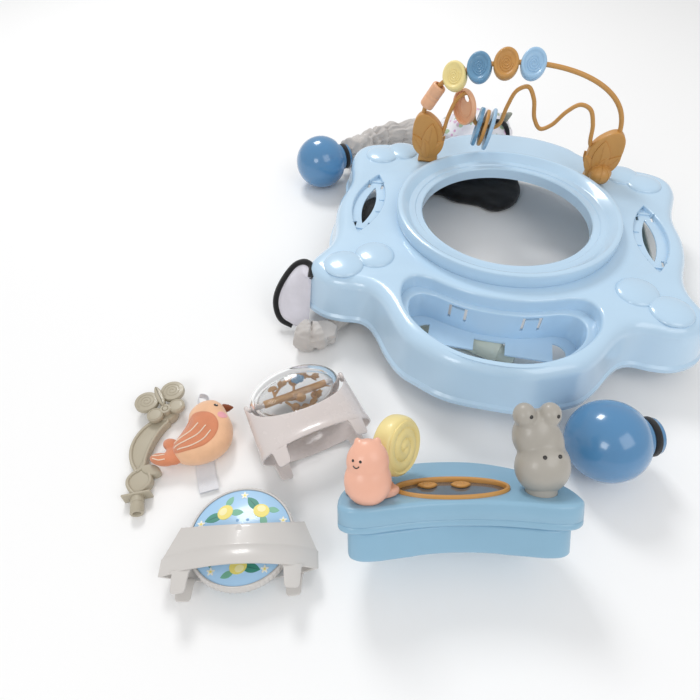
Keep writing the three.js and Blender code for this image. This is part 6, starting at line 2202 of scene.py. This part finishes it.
def sprig_print(name):
    material, tree, shader = node_tree(name)
    place = place_on(tree)
    leaf_colour = linear("a9bf9f")
    bud_colour = linear("dcaed0")
    base = ramp(tree, noise_at(tree, 30.0, 5.0), linear("e4e2ea"), linear("f3f2f6"))
    for scale, inner, outer in ((46.0, 0.24, 0.34), (80.0, 0.2, 0.3)):
        cells = added(tree, "TexVoronoi", {"Vector": place, "Scale": scale}).outputs
        motif = ramp(tree, cells["Color"], leaf_colour, bud_colour, 0.45, 0.55)
        spot = ramp(tree, cells["Distance"], (1, 1, 1), (0, 0, 0), inner, outer)
        mixer = tree.nodes.new("ShaderNodeMix")
        mixer.data_type = "RGBA"
        base = filled(mixer, {"Factor": spot, "A": base, "B": motif}).outputs["Result"]
    filled(shader, {
        "Base Color": base, "Normal": bump_of(tree, noise_at(tree, 420.0, 3.0), 0.35, 0.3 * MM),
        "Roughness": 0.9, "Sheen Weight": 0.3})
    return material


printed_cloth = sprig_print("printed_cloth")
heap_size = mm(186, 150, 78)
heap_low = base_thickness + gap
heap_middle = Vector((-0.216 * half, 1.31 * tray_back, 0))


def heap_point(level, turn, lift=0.0):
    """A place on the bundle's skin: soft rolls of cloth that overlap as they go up."""
    rolls = 0.085 * math.sin(2 * math.pi * (2.4 * level + 0.16 * math.sin(2 * turn + 0.7)))
    swell = math.sqrt(max(1 - level ** 2.4, 0)) * (0.9 + 0.1 * min(1, level * 8))
    crease = noise.noise(Vector((2.2 * math.cos(turn), 2.2 * math.sin(turn), 3 * level)))
    reach = swell * (1 + rolls * (1 - level) + 0.1 * crease) + lift
    height = heap_low + heap_size.z * level * (1 + 0.07 * crease)
    return heap_middle + Vector((heap_size.x / 2 * reach * math.cos(turn),
                                 heap_size.y / 2 * reach * math.sin(turn), height))


heap_loops = []
for step in range(37):
    level = 0.995 * math.sin(math.pi / 2 * step / 36)
    heap_loops.append([heap_point(level, turn) for turn in turns_of(120)])
bundle = stacked("printed_bundle", heap_loops)
long_keep = cloth_tube("long_keep", long_route, 60, 32,
                       lambda share, turn: sleeve_radius * tip_of(share) + 4.5 * MM, None)
cut(bundle, long_keep)
finished(bundle, opening, 70, "base", "white_cloth", printed_cloth, ["seat_pad"])
bindings = []
strap_places = [
    heap_middle + Vector(place) * MM for place in (
        (22, -44, 98), (42, -40, 99), (58, -30, 92), (68, -26, 80), (74, -32, 66), (74, -42, 50))]
bindings.append(rod_along("strap", spline(strap_places, 40, False), 5.4 * MM, 4))
points = [heap_point(0.2 + 0.1 * math.sin(math.pi * step / 39), -2.5 + 2.6 * step / 39, 0.012)
          for step in range(40)]
bindings.append(rod_along("binding", points, 4.2 * MM, 4))
binding = merged("bundle_binding", bindings)
for vertex in binding.data.vertices:
    vertex.co.z += 0.8 * MM * noise.noise(vertex.co * 90)
finished(binding, opening, 60, "base", "black_cloth", black_cloth)
patch_loops = []
sage_middle = heap_middle + mm(58, -8, 97)
for level in range(9):
    share = level / 8
    patch_loops.append([
        sage_middle + Vector((
            (9 + 4 * share) * MM * math.cos(turn) + 6 * MM * share,
            (4 + 3 * math.sin(math.pi * share)) * MM * math.sin(turn),
            (share - 0.5) * 21 * MM + 2 * MM * math.sin(2 * turn)))
        for turn in turns_of(32)])
sage_tab = subdivided(stacked("sage_tab", patch_loops), 1)
sage_cloth = cloth("sage_cloth", "9a9d92", 460.0, 0.9, 0.4, 0.06, 0.3)
finished(sage_tab, opening, 60, "base", "grey_cloth", sage_cloth)
print("bundle:", len(bundle.data.polygons), "faces")

# %% [markdown]
# The flap is a padded strip that hangs round the tray's front left corner, from its deck down to
# the floor. Its inner edge follows the tray's wall: a ray finds the wall at each place. Its outer
# edge bulges away and carries the same black binding.

# %% Flap
flap_outer_shares = [
    (-0.905, -0.568, 0.8), (-0.918, -0.515, 0.86), (-0.955, -0.5, 0.88), (-1.005, -0.503, 0.81),
    (-1.06, -0.55, 0.62), (-1.09, -0.594, 0.4), (-1.083, -0.626, 0.25), (-1.05, -0.655, 0.14),
    (-0.99, -0.66, 0.07)]
flap_inner_shares = [
    (-0.575, 0.79), (-0.58, 0.74), (-0.585, 0.7), (-0.592, 0.64), (-0.605, 0.52), (-0.62, 0.4),
    (-0.64, 0.28), (-0.655, 0.17), (-0.668, 0.1)]
flap_thickness = 7 * MM
flap_count = 60
flap_columns = 24
flap_outer = spline([(across * half, along * tray_front, up * deck_height)
                     for across, along, up in flap_outer_shares], flap_count, False)
flap_inner = []
for point in spline([(0, along * tray_front, up * deck_height) for along, up in flap_inner_shares],
                    flap_count, False):
    start = opening @ Vector((-1.3 * half, point.y, max(point.z, lip_height * 1.1)))
    hit, wall, _, _ = tray.ray_cast(start, Vector((1, 0, 0)))
    wall = opening.inverted() @ wall if hit else Vector((-half, point.y, point.z))
    flap_inner.append(Vector((min(wall.x, -0.9 * half) - 5 * MM, point.y, point.z)))
flap_side = Vector((-0.75, -0.35, 0.55)).normalized()


def flap_place(index, share, skin):
    """A place on the flap: from its outer edge at 0 to its inner edge at 1."""
    crown = math.sin(math.pi * min(max(share, 0), 1))
    wave = 1.6 * MM * noise.noise(Vector((index * 0.1, share * 4, 2)))
    point = flap_outer[index].lerp(flap_inner[index], share) + flap_side * (
        (9 * MM + wave) * crown + skin * flap_thickness / 2 * min(1, 3 * crown + 0.25))
    return Vector((point.x, point.y, max(point.z, 0.4 * MM)))


flap_loops = []
for index in range(flap_count):
    shares = [column / flap_columns for column in range(flap_columns + 1)]
    flap_loops.append([flap_place(index, share, 1) for share in shares]
                      + [flap_place(index, share, -1) for share in reversed(shares)])
flap = stacked("seat_flap_dressed", flap_loops)
finished(flap, opening, 60, "base", "white_cloth",
         cloth("flap_cloth", "dddbe4", 520.0, 0.85, 0.4, 0.04, 0.35), ["seat_flap"])
edge_places = [place + mm(-3, -2, 3) for place in flap_outer]
flap_binding = rod_along("flap_binding", edge_places, 5.6 * MM, 4)
kept_above(flap_binding, 0.2 * MM)
finished(flap_binding, opening, 60, "base", "black_cloth", black_cloth)
print("flap:", len(flap.data.polygons), "faces")

# %% [markdown]
# ## Studio
# The object lies on a plain white surface with soft light from above and a brighter window-like
# panel behind, which draws the long highlights on the glossy rims.

# %% Floor, lights and world
floor_reach = 6000 * MM
pick()
bpy.ops.mesh.primitive_plane_add(size=floor_reach, location=(0, 0, 0))
floor = bpy.context.object
floor.name = "floor"
floor_material, _, floor_shader = node_tree("studio_floor")
filled(floor_shader, {"Base Color": (0.93, 0.93, 0.93, 1), "Roughness": 0.9})
floor.data.materials.append(floor_material)


def lamp(name, place, aim, size, energy):
    data = bpy.data.lights.new(name, "AREA")
    data.size = size
    data.energy = energy
    light = bpy.data.objects.new(name, data)
    bpy.context.scene.collection.objects.link(light)
    light.location = place
    light.rotation_euler = (Vector(aim) - Vector(place)).to_track_quat("-Z", "Y").to_euler()


lamp("key_panel", (-1.2, 1.6, 2.4), (0, 0, 0), 0.8, 34)
lamp("fill_panel", (1.6, -1.4, 2.2), (0, 0, 0), 1.6, 16)
lamp("front_panel", (-0.8, -2.2, 1.6), (0, -0.2, 0), 0.8, 10)
world = bpy.data.worlds.new("studio")
bpy.context.scene.world = world
world.use_nodes = True
filled(world.node_tree.nodes["Background"], {"Color": (1, 1, 1, 1), "Strength": 0.62})
bpy.context.scene.view_settings.view_transform = "Standard"
print("studio ready")
